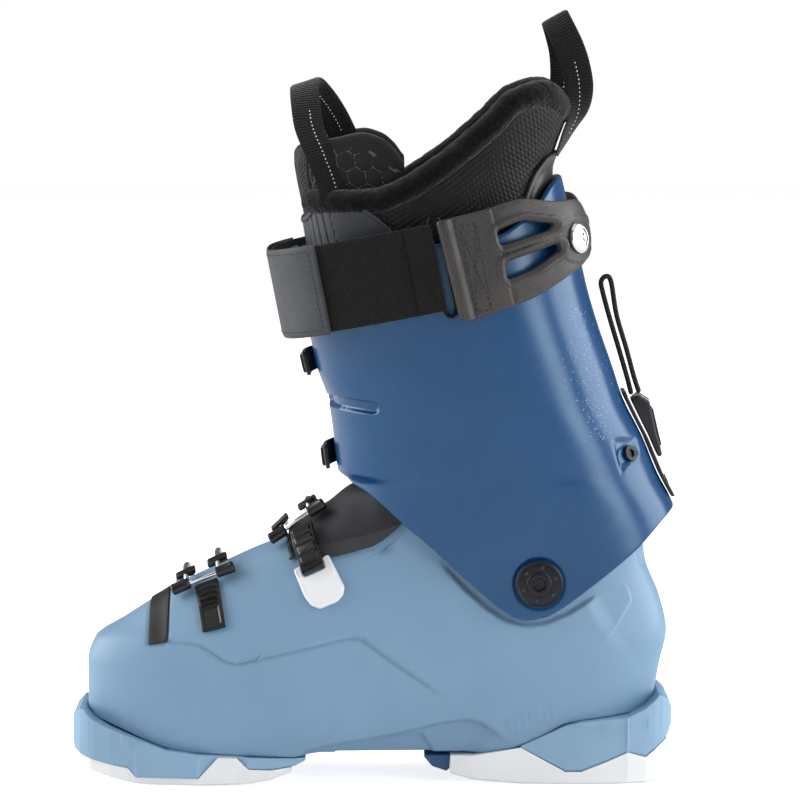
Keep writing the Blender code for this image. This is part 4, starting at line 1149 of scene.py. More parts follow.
def make_soles(m):
    for word, plate, grip, side in (("toe", TOE_PLATE, TOE_GRIP, toe_side),
                                    ("heel", HEEL_PLATE, HEEL_GRIP, heel_side)):
        sole_block(word + "_sole_moulding", plate, m["sole_blue"], [word + "_sole_plate"],
                   side=side, rise=0.7)
        sole_block(word + "_tread", grip, m["white_rubber"], [word + "_sole_grip"],
                   tread=1.4, corner=0.8, rise=0.38, crown=0.1)
    sole_block("arch_bumper_moulding", ARCH_BUMPER, m["navy"], ["arch_bumper"],
               corner=0.6)


# ---------------------------------------------------------------- power strap
STRAP_CENTRE = (31, 258)
STRAP_HALF_LENGTH = 77
STRAP_BLUNTNESS = 3.1
STRAP_HALF_WIDTH = 58
STRAP_TILT = math.radians(11)
WEBBING_HALF = 21.5
YOKE_HOLES = (((60, 276), (72, 281), (88, 279), (86, 276), (62, 268.5)),
              ((64, 260.5), (90, 269.5), (91, 266), (78, 257), (65, 252)))


def belt(t, height, lift):
    """Places on the strap's ring by angle from the front, height across the strap and lift outwards."""
    share, width = blunt(t, STRAP_BLUNTNESS)
    side = side_of(t)
    length = (2 * share - 1) * (STRAP_HALF_LENGTH + lift)
    x = STRAP_CENTRE[0] + length * math.cos(STRAP_TILT) - height * math.sin(STRAP_TILT)
    z = STRAP_CENTRE[1] + length * math.sin(STRAP_TILT) + height * math.cos(STRAP_TILT)
    return np.stack([x, side * (STRAP_HALF_WIDTH + lift) * width, z], axis=-1)


def belt_angle(x):
    """Angle from the front at which the strap's ring has a given x on its middle line."""
    q = (x - STRAP_CENTRE[0]) / (STRAP_HALF_LENGTH * math.cos(STRAP_TILT))
    return math.acos(-math.copysign(abs(q) ** (STRAP_BLUNTNESS / 2), q))


def belt_side(side):
    """A placing function from the side view onto one side of the strap's ring."""
    def place(x, z, lift):
        dx, dz = x - STRAP_CENTRE[0], z - STRAP_CENTRE[1]
        length = dx * math.cos(STRAP_TILT) + dz * math.sin(STRAP_TILT)
        height = dz * math.cos(STRAP_TILT) - dx * math.sin(STRAP_TILT)
        q = np.clip(length / STRAP_HALF_LENGTH, -0.999, 0.999)
        t = np.arccos(-np.sign(q) * np.abs(q) ** (STRAP_BLUNTNESS / 2))
        return belt(t if side < 0 else 2 * PI - t, height, lift)
    return place


def belt_band(name, angles, half, low, high, mat, replaced, swell=None):
    """A band of the strap's ring with rounded long edges, from a low to a high lift."""
    angles = np.asarray(angles, float)
    middle, deep = (low + high) / 2, (high - low) / 2
    section = rounded_section(half, deep, half * np.sin(np.linspace(-PI / 2, PI / 2, 41)), 14)
    bulge = swell(angles) if swell else np.zeros(len(angles))
    loops = np.stack([belt(angles, w, middle + d + bulge * (d >= 0)) for w, d in section], axis=1)
    length = run_length(belt(angles, 0, middle))
    flat = [(length[r], section[c][0]) for r in range(len(angles)) for c in range(len(section))]
    return loft(name, loops, mat, "cuff", replaced, sharp=50, flat=flat)


def belt_spread(start, end):
    """Angles about 1 mm apart along the ring."""
    t = np.linspace(start, end, 4001)
    length = run_length(belt(t, 0, 0))
    return np.interp(np.linspace(0, length[-1], int(length[-1]) + 2), length, t)


def belt_normals(t):
    ahead = belt(t + 0.01, 0, 0) - belt(t - 0.01, 0, 0)
    up = belt(t, 1, 0) - belt(t, -1, 0)
    return unit(np.cross(ahead, up))


def make_power_strap(m):
    start, end = belt_angle(32.8), -belt_angle(32.8)
    webbing = belt_spread(start, end)
    belt_band("power_strap_webbing", webbing, WEBBING_HALF, 0.2, 1.9, m["webbing"], ["strap_webbing"])
    # A sewn sleeve at each end, folded round the ring.
    for word, a, b in (("medial", start, belt_angle(20)), ("lateral", -start, -belt_angle(20))):
        sleeve = belt_spread(a, b)
        belt_band("webbing_sleeve_" + word, sleeve, WEBBING_HALF - 0.3, 1.5, 2.7, m["webbing"], [],
                  swell=lambda t: 0.7 * np.exp(-((np.arange(len(t)) - 1.5) / 1.8) ** 2))
    panel = belt_spread(belt_angle(-22), -0.66)
    belt_band("power_strap_front_panel", panel, WEBBING_HALF + 0.8, 2.2, 4.1, m["leatherette"],
              ["strap_front_panel"])
    # A stitched frame on the panel.
    ends = (belt_angle(-24.3), -0.60)
    length = belt_spread(*ends)
    tall, lift = 19.4, 4.12
    rows = [("top", length, tall), ("bottom", length, -tall)]
    across = np.linspace(-tall, tall, 40)
    rows += [(word, np.full(40, t), across) for word, t in zip(("medial", "lateral"), ends)]
    for word, t, height in rows:
        stitches("panel_stitch_" + word, belt(t, height, lift), belt_normals(t), m["thread"], length=1.7,
                 pitch=2.7, width=0.55)
    for word, side in (("medial", -1), ("lateral", 1)):
        make_yoke(m, word, side)
    # Wire ring: (x, height, lift) up its front run, over the top, down its rear run and under.
    places = [(31.8, h, 1.0) for h in (-21, -7, 7, 21)] + [(34.6, 24.6, 1.2)]
    places += [(37.4, h, 1.0) for h in (21, 7, -7, -21)] + [(34.6, -24.6, 1.2)]
    ring = [belt(np.array(belt_angle(x)), height, lift) for x, height, lift in places]
    tube("power_strap_ring", ring, 1.0, m["black_chrome"], "cuff", ["strap_ring"], closed=True)


YOKE_OUTLINE = ((31, 280.6, 1.5), (42.6, 233.4, 1.5), (46, 231.8, 3), (62, 237, 8), (80, 243.5, 8),
                (95, 253, 8), (105, 260, 8), (107.6, 270, 8), (105, 281, 6), (100, 290.6, 4),
                (88, 289.6, 5), (72, 292.2, 6), (55, 286.4, 8))
YOKE_LEAN = math.radians(13.8)
YOKE_STITCHES = (((42.5, 277), (49.5, 280.5), (58, 238), (50.8, 236.5), (42.5, 277)),
                 ((42.5, 277), (58, 238)), ((49.5, 280.5), (50.8, 236.5)))


def make_yoke(m, word, side):
    outline = rounded(YOKE_OUTLINE, 6)
    holes = [rounded(hole, 2.2) for hole in YOKE_HOLES]

    def height(x, z):
        depth = outline_depth(x, z, outline, holes)
        lift = np.full(np.shape(x), 2.4)
        # Distance behind the folded front edge.
        x0, z0, _ = YOKE_OUTLINE[0]
        front = (x - x0) * math.cos(YOKE_LEAN) + (z - z0) * math.sin(YOKE_LEAN)
        lift += 1.9 * np.exp(-(np.abs(front - 3.2) / 3.4) ** 4)
        seam = ease(front, 7.6, 8.4) * ease(-front, -27.5, -26.6)
        lift += 0.35 * seam
        for groove in (27.2, 8):
            lift -= 0.5 * np.exp(-((front - groove) / 0.5) ** 2)
        rim = np.full(np.shape(x), 1e9)
        for hole in holes:
            rim = np.minimum(rim, -inside_distance(x, z, hole))
        lift += 1.1 * ease(-rim, -4.0, -3.2) - 0.6 * ease(-rim, -1.3, -0.8)
        body_area = ease(front, 28, 29.5)
        lift += body_area * (0.5 * ease(depth, 1.4, 2.2) - 0.15)
        boss = np.hypot(x - 99, z - 271)
        lift += 0.5 * ease(12 - boss, 0, 1) * body_area - 0.5 * ease(9.2 - boss, 0, 0.8)
        return lift

    place = belt_side(side)
    relief("yoke_" + word, outline, holes, place, height, 0.05, 0.95, m["yoke"], "cuff",
           ["strap_yoke_" + word], edge=1.0)
    # Stitched rectangle with a cross.
    for number, corners in enumerate(YOKE_STITCHES):
        path = resample(np.array(corners, float), 0.8, closed=False)
        x, z = path[:, 0], path[:, 1]
        here = place(x, z, height(x, z) + 0.02)
        level = np.full(len(x), 3.0)
        n = unit(np.cross(place(x + 0.1, z, level) - place(x - 0.1, z, level),
                          place(x, z + 0.1, level) - place(x, z - 0.1, level)))
        if n[0, 1] * side < 0:
            n = -n
        stitches(f"yoke_stitch_{word}_{number}", here, n, m["thread"], length=1.9, pitch=2.9, width=0.6)
    angle = belt_angle(99)
    t = np.array(angle if side < 0 else 2 * PI - angle)
    out = belt_normals(t) * (1 if belt_normals(t)[1] * side > 0 else -1)
    make_rivet(m, word, belt(t, 0, 3.4), out)


def turned(name, centre, normal, profile, mat, body, replaced=(), sides=48, hexes=()):
    """A turned piece: a profile of (radius, lift) about a normal; hexes names rows drawn as a hexagon."""
    centre, normal = np.asarray(centre, float), unit(np.asarray(normal, float))
    one = unit(np.cross(normal, (0.0, 0.0, 1.0) if abs(normal[2]) < 0.9 else (1.0, 0.0, 0.0)))
    two = np.cross(normal, one)
    angles = np.linspace(0, 2 * PI, sides, endpoint=False)
    loops = []
    for row, (radius, lift) in enumerate(profile):
        r = np.full(sides, float(radius))
        if row in hexes:
            r = radius * math.cos(PI / 6) / np.cos((angles + PI / 6) % (PI / 3) - PI / 6)
        ring = one * np.cos(angles)[:, None] + two * np.sin(angles)[:, None]
        loops.append(centre + normal * lift + r[:, None] * ring)
    return loft(name, loops, mat, body, replaced, sharp=38)


def make_rivet(m, word, centre, normal):
    """A chrome rivet through the yoke, domed round a hexagonal socket."""
    profile = [(6.0, -1.2), (7.6, -0.6), (7.7, 0.2), (7.2, 0.9), (6.0, 1.5), (5.2, 1.5), (5.0, 1.1),
               (4.6, 1.1), (4.4, 1.9), (3.4, 2.2), (2.5, 2.2), (2.3, 1.2), (0.8, 1.0)]
    turned("yoke_rivet_" + word, centre, normal, profile, m["chrome"], "cuff", ["strap_rivet_" + word],
           hexes=(10, 11, 12))


# ---------------------------------------------------------------- liner
LINER_FRONT = ((150, 16), (163, 6), (172, -6), (190, -15), (217, -21), (267, -32), (290, -36), (345, -42))
LINER_REAR = ((150, 119), (172, 124), (190, 116), (205, 111), (228, 103), (258, 95), (280, 90), (303, 87.5),
              (315, 91), (335, 97), (345, 97))
LINER_HALF_WIDTH = ((150, 30), (172, 40), (210, 44), (260, 46.5), (300, 47), (345, 46))
LINER_RIM = ((-30, 288), (0, 289), (15, 294), (30, 303), (45, 314), (60, 327), (72, 338), (88, 343),
             (99, 336))
TONGUE_FRONT = ((165, 8), (175, -6), (190, -12), (217, -20), (264, -30.5), (285, -34), (300, -37),
                (312, -38.7), (322, -36))
TONGUE_HALF_WIDTH = ((150, 24), (190, 33), (230, 37), (330, 39))
TONGUE_TOP = ((0, 311), (0.5, 314), (0.85, 317), (1.13, 319.5), (1.3, 317), (1.42, 312), (1.5, 305))
QUILT_PITCH = 9.4
PLATE_FRONT = ((240, -27), (264, -32.2), (285, -35.8), (300, -38.6))
PLATE_HALF_WIDTH = ((240, 47.8), (300, 50.0))
PLATE_TOP = ((0, 279), (0.35, 281), (0.6, 287), (0.74, 291), (1.1, 289), (1.28, 282), (1.42, 272))
TAB_OUTLINE = ((74, 289), (79, 302), (87, 311.5), (93, 313.5), (98, 300), (98, 286), (80, 284))
# The pull loops: points along them, and the direction across the webbing at even shares of them.
FRONT_LOOP = ((-17.5, -37.5, 289), (-20, -37, 299), (-25.5, -34, 313), (-30.5, -28, 325),
              (-32.5, -20, 336.5), (-33.3, -10, 344.5), (-32.8, -1, 346.5), (-30, 8, 344), (-24, 16, 336.5),
              (-18.5, 22, 327.5), (-14, 27, 318))
FRONT_LOOP_ACROSS = ((1, 0.35, 0.1), (1, 0.2, 0.33), (1, 0.3, 0.3))
REAR_LOOP = ((91.5, -8.5, 310.5), (96.5, -8.5, 321), (101.5, -9, 332), (102.6, -9, 344), (100.8, -9, 355),
             (97.8, -9, 364), (94, -7.5, 372), (91.2, -3.5, 377.6), (90.5, 0, 378.8), (91.2, 4, 377.4),
             (93.5, 7.5, 370), (95.5, 8.5, 361), (96, 8.5, 349), (94.5, 7.5, 340), (92, 7, 333))
REAR_LOOP_ACROSS = ((0.1, 1, 0), (0.55, 0.8, 0.1), (1, 0.15, 0.3), (1, 0, 0.6), (1, 0, 0.6), (1, 0, 0.4),
                    (1, 0.1, 0.1), (1, 0.3, 0))


def liner_point(t, z, inset=0.0):
    return oval_point(t, z, LINER_FRONT, LINER_REAR, LINER_HALF_WIDTH, inset)


def girth(grid):
    """Length along each row of a grid."""
    steps = np.linalg.norm(np.diff(grid, axis=1), axis=2)
    return np.concatenate([np.zeros((grid.shape[0], 1)), np.cumsum(steps, axis=1)], axis=1)


def make_liner_foot(m):
    def point(t, z):
        return shell_point(t, z, inset=9.0, drop=8.0)

    t = blunt_angles(170, SHELL_BLUNTNESS)
    high = rim_height(point, t, SHELL_HEM, 130) - 5
    low = np.minimum(np.maximum(31.5, rim_height(point, t, SEAM, 24) + 9), high - 4)
    outer = wall_grid(point, t, low, high, np.linspace(0, 1, 34))
    swell = 0.5 * np.sin(outer[..., 2] * 0.45) * np.cos(outer[..., 0] * 0.1)
    outer = outer + outward_normals(outer, True) * swell[..., None] * 0.6
    close_wall("liner_foot_shell", outer, 4.0, m["mesh"], "shell", ["liner_foot", "boot_board"],
                      True, radius=1.9, floor=True)


def make_liner_leg(m):
    t = np.linspace(0.46, 2 * PI - 0.46, 560)
    high = rim_height(liner_point, t, LINER_RIM, 300) - 1.5
    rows = np.concatenate([np.linspace(0, 0.62, 26, endpoint=False), np.linspace(0.62, 1, 130)])
    low = np.full(len(t), 152.0)
    outer = wall_grid(liner_point, t, low, high, rows)
    around_it, z = girth(outer), outer[..., 2]
    cells = hex_edge(z * 0.98, around_it, 2.7)
    zone = ease(z, 262, 268) * ease(high[None] - z, 3, 7)
    outer = displaced(outer, zone * (0.55 * ease(cells, 0.15, 0.7) - 0.2), False)
    leg = close_wall("liner_leg", outer, 6.5, m["mesh"], None, ["liner_upper"], False,
                     radius=2.8)

    def faces_inwards(centres, normals):
        middle = 30 + (centres[:, 2] - 250) * 0.02
        return normals[:, 0] * (centres[:, 0] - middle) + normals[:, 1] * centres[:, 1] < 0

    second_finish(leg, m["plush"], faces_inwards)
    return leg


def pile(points, normals, amount, grain):
    """Uneven pile: a deterministic lumpy displacement made of several waves."""
    x, y, z = np.moveaxis(points / grain, -1, 0)
    lumps = (np.sin(x * 1.7 + 2 * np.sin(z)) * np.sin(y * 2.1 + np.sin(x * 1.3))
             + 0.7 * np.sin(z * 3.1 + x * 2.3) * np.sin(y * 3.7 + 1.1)
             + 0.5 * np.sin(x * 7.1 + y * 5.3) * np.sin(z * 6.1))
    return points + normals * (amount * lumps)[..., None]


def make_collar(m):
    """The plush roll along the liner's rim."""
    opening = 0.40
    t = np.linspace(opening, 2 * PI - opening, 420)
    z = rim_height(liner_point, t, LINER_RIM, 300)
    share = np.abs(t - PI) / (PI - opening)
    rear = ease(1 - share, 0.62, 0.92)
    # Towards the rear the roll sits lower and further in, and is taller.
    line = oval_point(t, z + 0.6 - 4.2 * rear, LINER_FRONT, LINER_REAR, LINER_HALF_WIDTH, 2.0 + 2.0 * rear)
    tall = (1.02 + 0.28 * rear)[:, None]
    ends = np.sqrt(np.clip((1 - share) / 0.02, 0, 1))
    radius = 6.1 * np.maximum(ends, 0.08)
    tangent = tangents(line)
    out = outward_normals(np.stack([liner_point(t, z - 3), liner_point(t, z)]), False)[0]
    out = unit(out - tangent * (out * tangent).sum(axis=1, keepdims=True))
    up = np.cross(out, tangent)
    up *= np.sign(up[:, 2:3])
    loops = np.stack([line + radius[:, None] * (out * math.cos(a) + up * math.sin(a) * tall)
                      for a in np.linspace(0, 2 * PI, 44, endpoint=False)], axis=1)
    normal = unit(loops - line[:, None])
    for depth, grain in ((0.028, 1.0), (0.03, 5.0)):
        loops = pile(loops, normal, depth * radius[:, None], grain)
    return loft("plush_collar", loops, m["plush"], "cuff", [], sharp=0)


def from_middle(grid):
    """Length along each row of a grid from its middle column."""
    around_it = girth(grid)
    middle = grid.shape[1] // 2
    return around_it - around_it[:, middle:middle + 1]


def make_honeycomb(m, name, grid, zone, pitch, body):
    """Printed honeycomb lines laid on a soft surface: thin raised ridges along the cells' borders."""
    rows, cols = grid.shape[:2]
    normals = outward_normals(grid, False)
    cells = hex_edge(from_middle(grid), girth(grid.transpose(1, 0, 2)).T, pitch)
    inside = ((cells < 0.55) & (zone > 0.5)).ravel()
    faces = [face for face in grid_faces(rows, cols) if inside[list(face)].all()]
    top = (grid + normals * 0.25).reshape(-1, 3)
    verts, faces, _ = thick_sheet(top, (grid - normals * 0.3).reshape(-1, 3), faces)
    return new_object(name, verts, faces, m["print"], body)


def make_tongue(m):
    def point(t, z):
        return oval_point(t, z, TONGUE_FRONT, LINER_REAR, TONGUE_HALF_WIDTH)

    t = np.linspace(-1.5, 1.5, 330)
    high = along(np.abs(t), TONGUE_TOP)
    low = np.full(len(t), 176.0)
    rows = np.concatenate([np.linspace(0, 0.6, 24, endpoint=False), np.linspace(0.6, 1, 120)])
    outer = wall_grid(point, t, low, high, rows)
    z = outer[..., 2]
    around_it = from_middle(outer)
    side = np.abs(around_it)
    # Padding below the top edge of the wings, small mesh cells on the front, big quilted cells on the
    # wings, and a sewn line between them.
    puff = 1.2 * ease(high[None] - z, 2, 12) * ease(side, 0, 30)
    front = ease(-side, -26, -22)
    puff += front * 0.5 * ease(hex_edge(z, around_it, 2.6), 0.15, 0.6) * ease(z, 262, 268)
    quilt = hex_edge(around_it, z, QUILT_PITCH) / (QUILT_PITCH / 2)
    puff += (1 - front) * ease(z, 285, 292) * np.sqrt(np.clip(quilt, 0, 1))
    puff -= 0.9 * np.exp(-((side - 25.5) / 0.9) ** 2)
    outer = displaced(outer, puff * ease(high[None] - z, 0.5, 7.0), False)
    tongue = close_wall("liner_tongue_pad", outer, 8.5, m["knit"], "cuff", ["liner_tongue"],
                        False, radius=3.9)

    def on_front(centres, _):
        return (np.abs(centres[:, 1]) < 17.5) & (centres[:, 0] < -0.24 * (centres[:, 2] - 180) - 2)

    second_finish(tongue, m["mesh"], on_front)
    zone = (side > 27.5) * ease(z, 290, 292) * (z < high[None] - 3)
    make_honeycomb(m, "tongue_print", outer, zone, QUILT_PITCH, "cuff")
    return tongue


def make_tongue_plate(m):
    """Ribbed plastic reinforcement wrapped round the front of the tongue."""
    def point(t, z):
        return oval_point(t, z, PLATE_FRONT, LINER_REAR, PLATE_HALF_WIDTH)

    t = np.linspace(-1.42, 1.42, 300)
    top = along(np.abs(t), PLATE_TOP)
    outer = wall_grid(point, t, np.full(len(t), 250.0), top, np.linspace(0, 1, 60))
    side = np.abs(from_middle(outer))
    below = top[None] - outer[..., 2]
    grooves = ease(np.abs((side - 18) % 5.2 - 2.6), 2.1, 2.5) * (side > 18) * (side < 44)
    lift = -0.8 * grooves * ease(below, 1.5, 3)
    lift = lift + 0.6 * ease(-below, -2.2, -1.6)
    outer = displaced(outer, lift, False)
    close_wall("tongue_plate", outer, 1.5, m["soft_grey"], "cuff", [], False,
               radius=0.6)


def make_rear_tab(m):
    """Smooth tab sewn to the back of the liner, between the pull loop and the cuff."""
    outline = rounded(TAB_OUTLINE, 4)

    def height(x, z):
        return 1.2 - 0.5 * np.exp(-((inside_distance(x, z, outline) - 2.6) / 0.5) ** 2)

    for side in (-1, 1):
        def place(x, z, lift):
            # The share of the way from front to rear gives the place on the liner's oval.
            front, rear = along(z, LINER_FRONT), along(z, LINER_REAR) + 1.2
            share = np.clip((x - front) / (rear - front), 0, 0.9995)
            q = 2 * share - 1
            t = np.arccos(np.clip(-np.sign(q) * np.abs(q) ** (CUFF_BLUNTNESS / 2), -1, 1))
            t = t if side < 0 else 2 * PI - t
            p = liner_point(t, z, inset=-1.2)
            n = liner_point(t, z, inset=-2.2) - p
            return p + n * lift[..., None]

        relief("liner_tab_" + ("medial" if side < 0 else "lateral"), outline, [], place, height, -1.5, 1.0,
               m["soft_black"], "cuff", [], edge=0.8)


def make_pull_loops(m):
    # Each loop's rows of stitches are (word, share of its length at the start and at the end, shift).
    loops = (("front", FRONT_LOOP, FRONT_LOOP_ACROSS,
              (("near", 0.02, 0.42, 1.5), ("far", 0.72, 0.97, 0.0))),
             ("rear", REAR_LOOP, REAR_LOOP_ACROSS,
              (("outer", 0.10, 0.40, 0.0), ("inner", 0.72, 0.96, 0.0))))
    for end, points, across, rows in loops:
        line, wide, out = ribbon(end + "_pull_webbing", points, across, 14.5, 1.5, m["loop_webbing"],
                                 "cuff", [end + "_pull_loop"])
        facing = np.where(out[:, 1:2] < 0, 1, -1)
        for word, a, b, shift in rows:
            first, last = int(a * len(line)), int(b * len(line))
            path = line + out * 0.85 * facing + wide * shift
            stitches(f"{end}_pull_stitch_{word}", path[first:last], (out * facing)[first:last],
                     m["white_thread"], length=0.9, pitch=2.1, width=0.65)


def make_liner(m):
    make_liner_foot(m)
    leg = make_liner_leg(m)
    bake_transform(leg)
    make_collar(m)
    make_tongue(m)
    make_tongue_plate(m)
    make_rear_tab(m)
    make_pull_loops(m)


# ---------------------------------------------------------------- buckles
LEAN = math.radians(15)
PIVOT_LIFT = 6.6
HOOK_LIFT = 5.4
BAIL_HALF = 8.5


# Rays towards a wrap's axis start this far out.
WRAP_FAR = 200


class Wrap:
    """Places on the outside of pieces, by angle round a centre, offset along an axis and lift outwards."""

    def __init__(self, pieces, centre, up, axis):
        self.centre = np.array(centre, float)
        self.up = np.array(up, float)
        self.axis = np.array(axis, float)
        trees = [surface_tree(piece) for piece in pieces]
        self.angles = np.arange(-100.0, 116.0, 2.0)
        self.offsets = np.arange(-24.0, 25.0, 2.0)
        radii = np.empty((len(self.angles), len(self.offsets)))
        for i, angle in enumerate(self.angles):
            heading = Vector(self.heading(angle))
            for j, offset in enumerate(self.offsets):
                start = Vector(self.centre + self.axis * offset) + heading * WRAP_FAR
                hits = [tree.ray_cast(start, -heading)[0] for tree in trees]
                far = [(hit - start).length for hit in hits if hit]
                radii[i, j] = WRAP_FAR - min(far) if far else radii[i - 1, j]
        # Smoothed twice, over angles and then over offsets.
        for _ in range(2):
            padded = np.pad(radii, 1, mode="edge")
            radii = (padded[:-2, 1:-1] + padded[2:, 1:-1] + 2 * padded[1:-1, 1:-1]) / 4
            padded = np.pad(radii, 1, mode="edge")
            radii = (padded[1:-1, :-2] + padded[1:-1, 2:] + 2 * padded[1:-1, 1:-1]) / 4
        self.radii = radii
        self.scale = float(np.radians(1) * radii[20:-20, 8:-8].mean())

    def heading(self, angle):
        turn = np.radians(np.asarray(angle, float))[..., None]
        return np.array([0.0, 1.0, 0.0]) * np.sin(turn) + self.up * np.cos(turn)

    def at(self, angle, offset, lift):
        angle, offset, lift = np.broadcast_arrays(*(np.asarray(v, float) for v in (angle, offset, lift)))
        i = np.clip((angle - self.angles[0]) / 2, 0, len(self.angles) - 1.001)
        j = np.clip((offset - self.offsets[0]) / 2, 0, len(self.offsets) - 1.001)
        i0, j0 = i.astype(int), j.astype(int)
        fi, fj = i - i0, j - j0
        r = self.radii
        reach = ((r[i0, j0] * (1 - fj) + r[i0, j0 + 1] * fj) * (1 - fi)
                 + (r[i0 + 1, j0] * (1 - fj) + r[i0 + 1, j0 + 1] * fj) * fi)
        return self.centre + self.axis * offset[..., None] + self.heading(angle) * (reach + lift)[..., None]

    def place(self, u, v, lift):
        """As at(), with the angle given as a length along the surface."""
        return self.at(u / self.scale, v, lift)

    def near(self, x, z):
        """The length round the wrap and the offset, on the near side, of a place seen from that side."""
        offset = (x - self.centre[0]) * self.axis[0] + (z - self.centre[2]) * self.axis[2]
        height = (x - self.centre[0]) * self.up[0] + (z - self.centre[2]) * self.up[2]
        angles = np.linspace(-100, -20, 81)
        seen = (self.at(angles, offset, 2.0) - self.centre) @ self.up
        return float(np.interp(height, seen, angles)) * self.scale, offset


def band_outline(start, end, half, corner):
    return rounded([(start, -half), (end, -half), (end, half), (start, half)], corner)


def make_ladder(m, name, body, wrap, ends, lift, teeth, middle, drift):
    """The toothed strip: teeth across its middle over one part, a sunk panel over the rest."""
    def place(u, v, height):
        angle = u / wrap.scale
        return wrap.at(angle, v + middle + drift * (angle - ends[1]), height)

    start, end = ends[0] * wrap.scale, ends[1] * wrap.scale
    first, last = teeth[0] * wrap.scale, teeth[1] * wrap.scale
    pitch = (last - first) / teeth[2]

    def height(u, v):
        share = ((u - first) / pitch) % 1.0
        tooth = 1.5 * np.clip(1 - share, 0, 1) * ease(4.9 - np.abs(v), 0, 0.5)
        tooth = tooth * (u > first) * (u < last)
        panel = ease(np.minimum(4.2 - np.abs(v), np.minimum(u - start - 2.2, first - 1.4 - u)), 0, 0.5)
        return lift + 1.9 + tooth - 0.55 * panel

    relief(name + "_strip", band_outline(start, end, 6, 1.2), [], place, height, lift, 0.42, m["black"],
           body, [name], edge=0.5)


def wrapped_solid(name, wrap, angles, section, mat, body, replaced):
    """A rounded section of (offset, lift) carried through angles, drawn in a little at both ends."""
    middle = section.mean(axis=0)
    inset = [0.90, 0.97] + [1.0] * (len(angles) - 4) + [0.97, 0.90]
    loops = [wrap.at(angle, *(middle + (section - middle) * s).T) for angle, s in zip(angles, inset)]
    return loft(name, loops, mat, body, replaced, sharp=45)


def make_base(m, name, body, wrap, pivot, base_lift):
    """The buckle's base: a channel along the wrap, with the lever's pin ends and a rivet in its floor."""
    floor = base_lift + 1.3
    outer, inner, top = 11.8, 10, 8.7
    channel = rounded([(-outer, base_lift), (outer, base_lift), (outer, top, 0.7), (inner, top, 0.7),
                       (inner, floor, 0.3), (-inner, floor, 0.3), (-inner, top, 0.7), (-outer, top, 0.7)],
                      0.6, steps=3)
    start, end = pivot - 6, pivot + 14
    angles = [start, start + 0.35, *np.linspace(start + 0.8, end - 0.8, 9), end - 0.35, end]
    wrapped_solid(name + "_channel", wrap, angles, channel, m["black"], body, [name])
    pin = wrap.at(pivot, 0, PIVOT_LIFT)
    for side, word in ((-1, "toe"), (1, "heel")):
        turned(name + "_pin_" + word, pin + wrap.axis * side * 11.6, wrap.axis * side,
               [(0.3, -0.4), (1.9, -0.4), (1.9, 0.25), (1.5, 0.6), (0.3, 0.7)], m["chrome"], body, [],
               sides=24)
    rivet = pivot + 8
    turned(name + "_rivet", wrap.at(rivet, 0, floor), wrap.heading(rivet),
           [(0.4, -0.3), (3.0, -0.3), (3.0, 0.3), (2.2, 0.7), (0.4, 0.8)], m["silver"], body, [],
           sides=28)


def make_lever(m, name, wrap, pivot, end, hem):
    """The lever: a pressed plate with a window, raised ribs and a grip, and its hem round the bail's bar.

    hem is the outer radius of the hem."""
    start, far = (pivot + 3.5) * wrap.scale, end * wrap.scale
    length = far - start
    half = [(start, 6.6, 1.0), (start + 3.0, 8.4, 2.0), (far - 7, 8.0, 6.0), (far, 5.0, 4.5)]
    outline = rounded([(u, -v, r) for u, v, r in half] + half[::-1], 1.0)
    near, away = start + 0.20 * length, start + 0.52 * length
    window = rounded([(near, -3.2), (away, -2.6), (away, 2.6), (near, 3.2)], 2.4)

    def height(u, v):
        depth = outline_depth(u, v, outline, [window])
        share = (u - start) / length
        sunk = 1.0 * ease(depth, 1.5, 2.1) * ease(share, 0.03, 0.10)
        waves = 0.35 * np.sin((u - start) * 2 * PI / 2.4)
        grip = waves * ease(share, 0.66, 0.70) * ease(0.95 - share, 0, 0.03)
        return PIVOT_LIFT + 1.2 - sunk + grip * ease(depth, 1.6, 2.2)

    relief(name + "_plate", outline, [window], wrap.place, height, PIVOT_LIFT - 1.4, 0.55, m["silver"],
           name, [name], edge=0.6)
    profile = [(hem - 0.4, -2.6), (hem - 0.15, -2.7), (hem, -2.55), (hem, 2.55), (hem - 0.15, 2.7),
               (hem - 0.4, 2.6)]
    turned_tube(name + "_hem", wrap.at(pivot, 0, PIVOT_LIFT), wrap.axis, profile, m["silver"], name)


def turned_tube(name, centre, normal, profile, mat, body):
    """A turned ring: a closed profile of (radius, lift) about an axis."""
    sides = 28
    one = unit(np.cross(normal, (0.0, 1.0, 0.0)))
    two = np.cross(normal, one)
    angles = np.linspace(0, 2 * PI, sides, endpoint=False)
    loops = [centre + normal * lift + r * (one * np.cos(angles)[:, None] + two * np.sin(angles)[:, None])
             for r, lift in profile]
    verts = np.concatenate(loops)
    faces = [tuple(v % len(verts) for v in f) for f in grid_faces(len(loops) + 1, sides, whole=True)]
    sharp_by_angle(new_object(name, verts, faces, mat, body, []), 40)


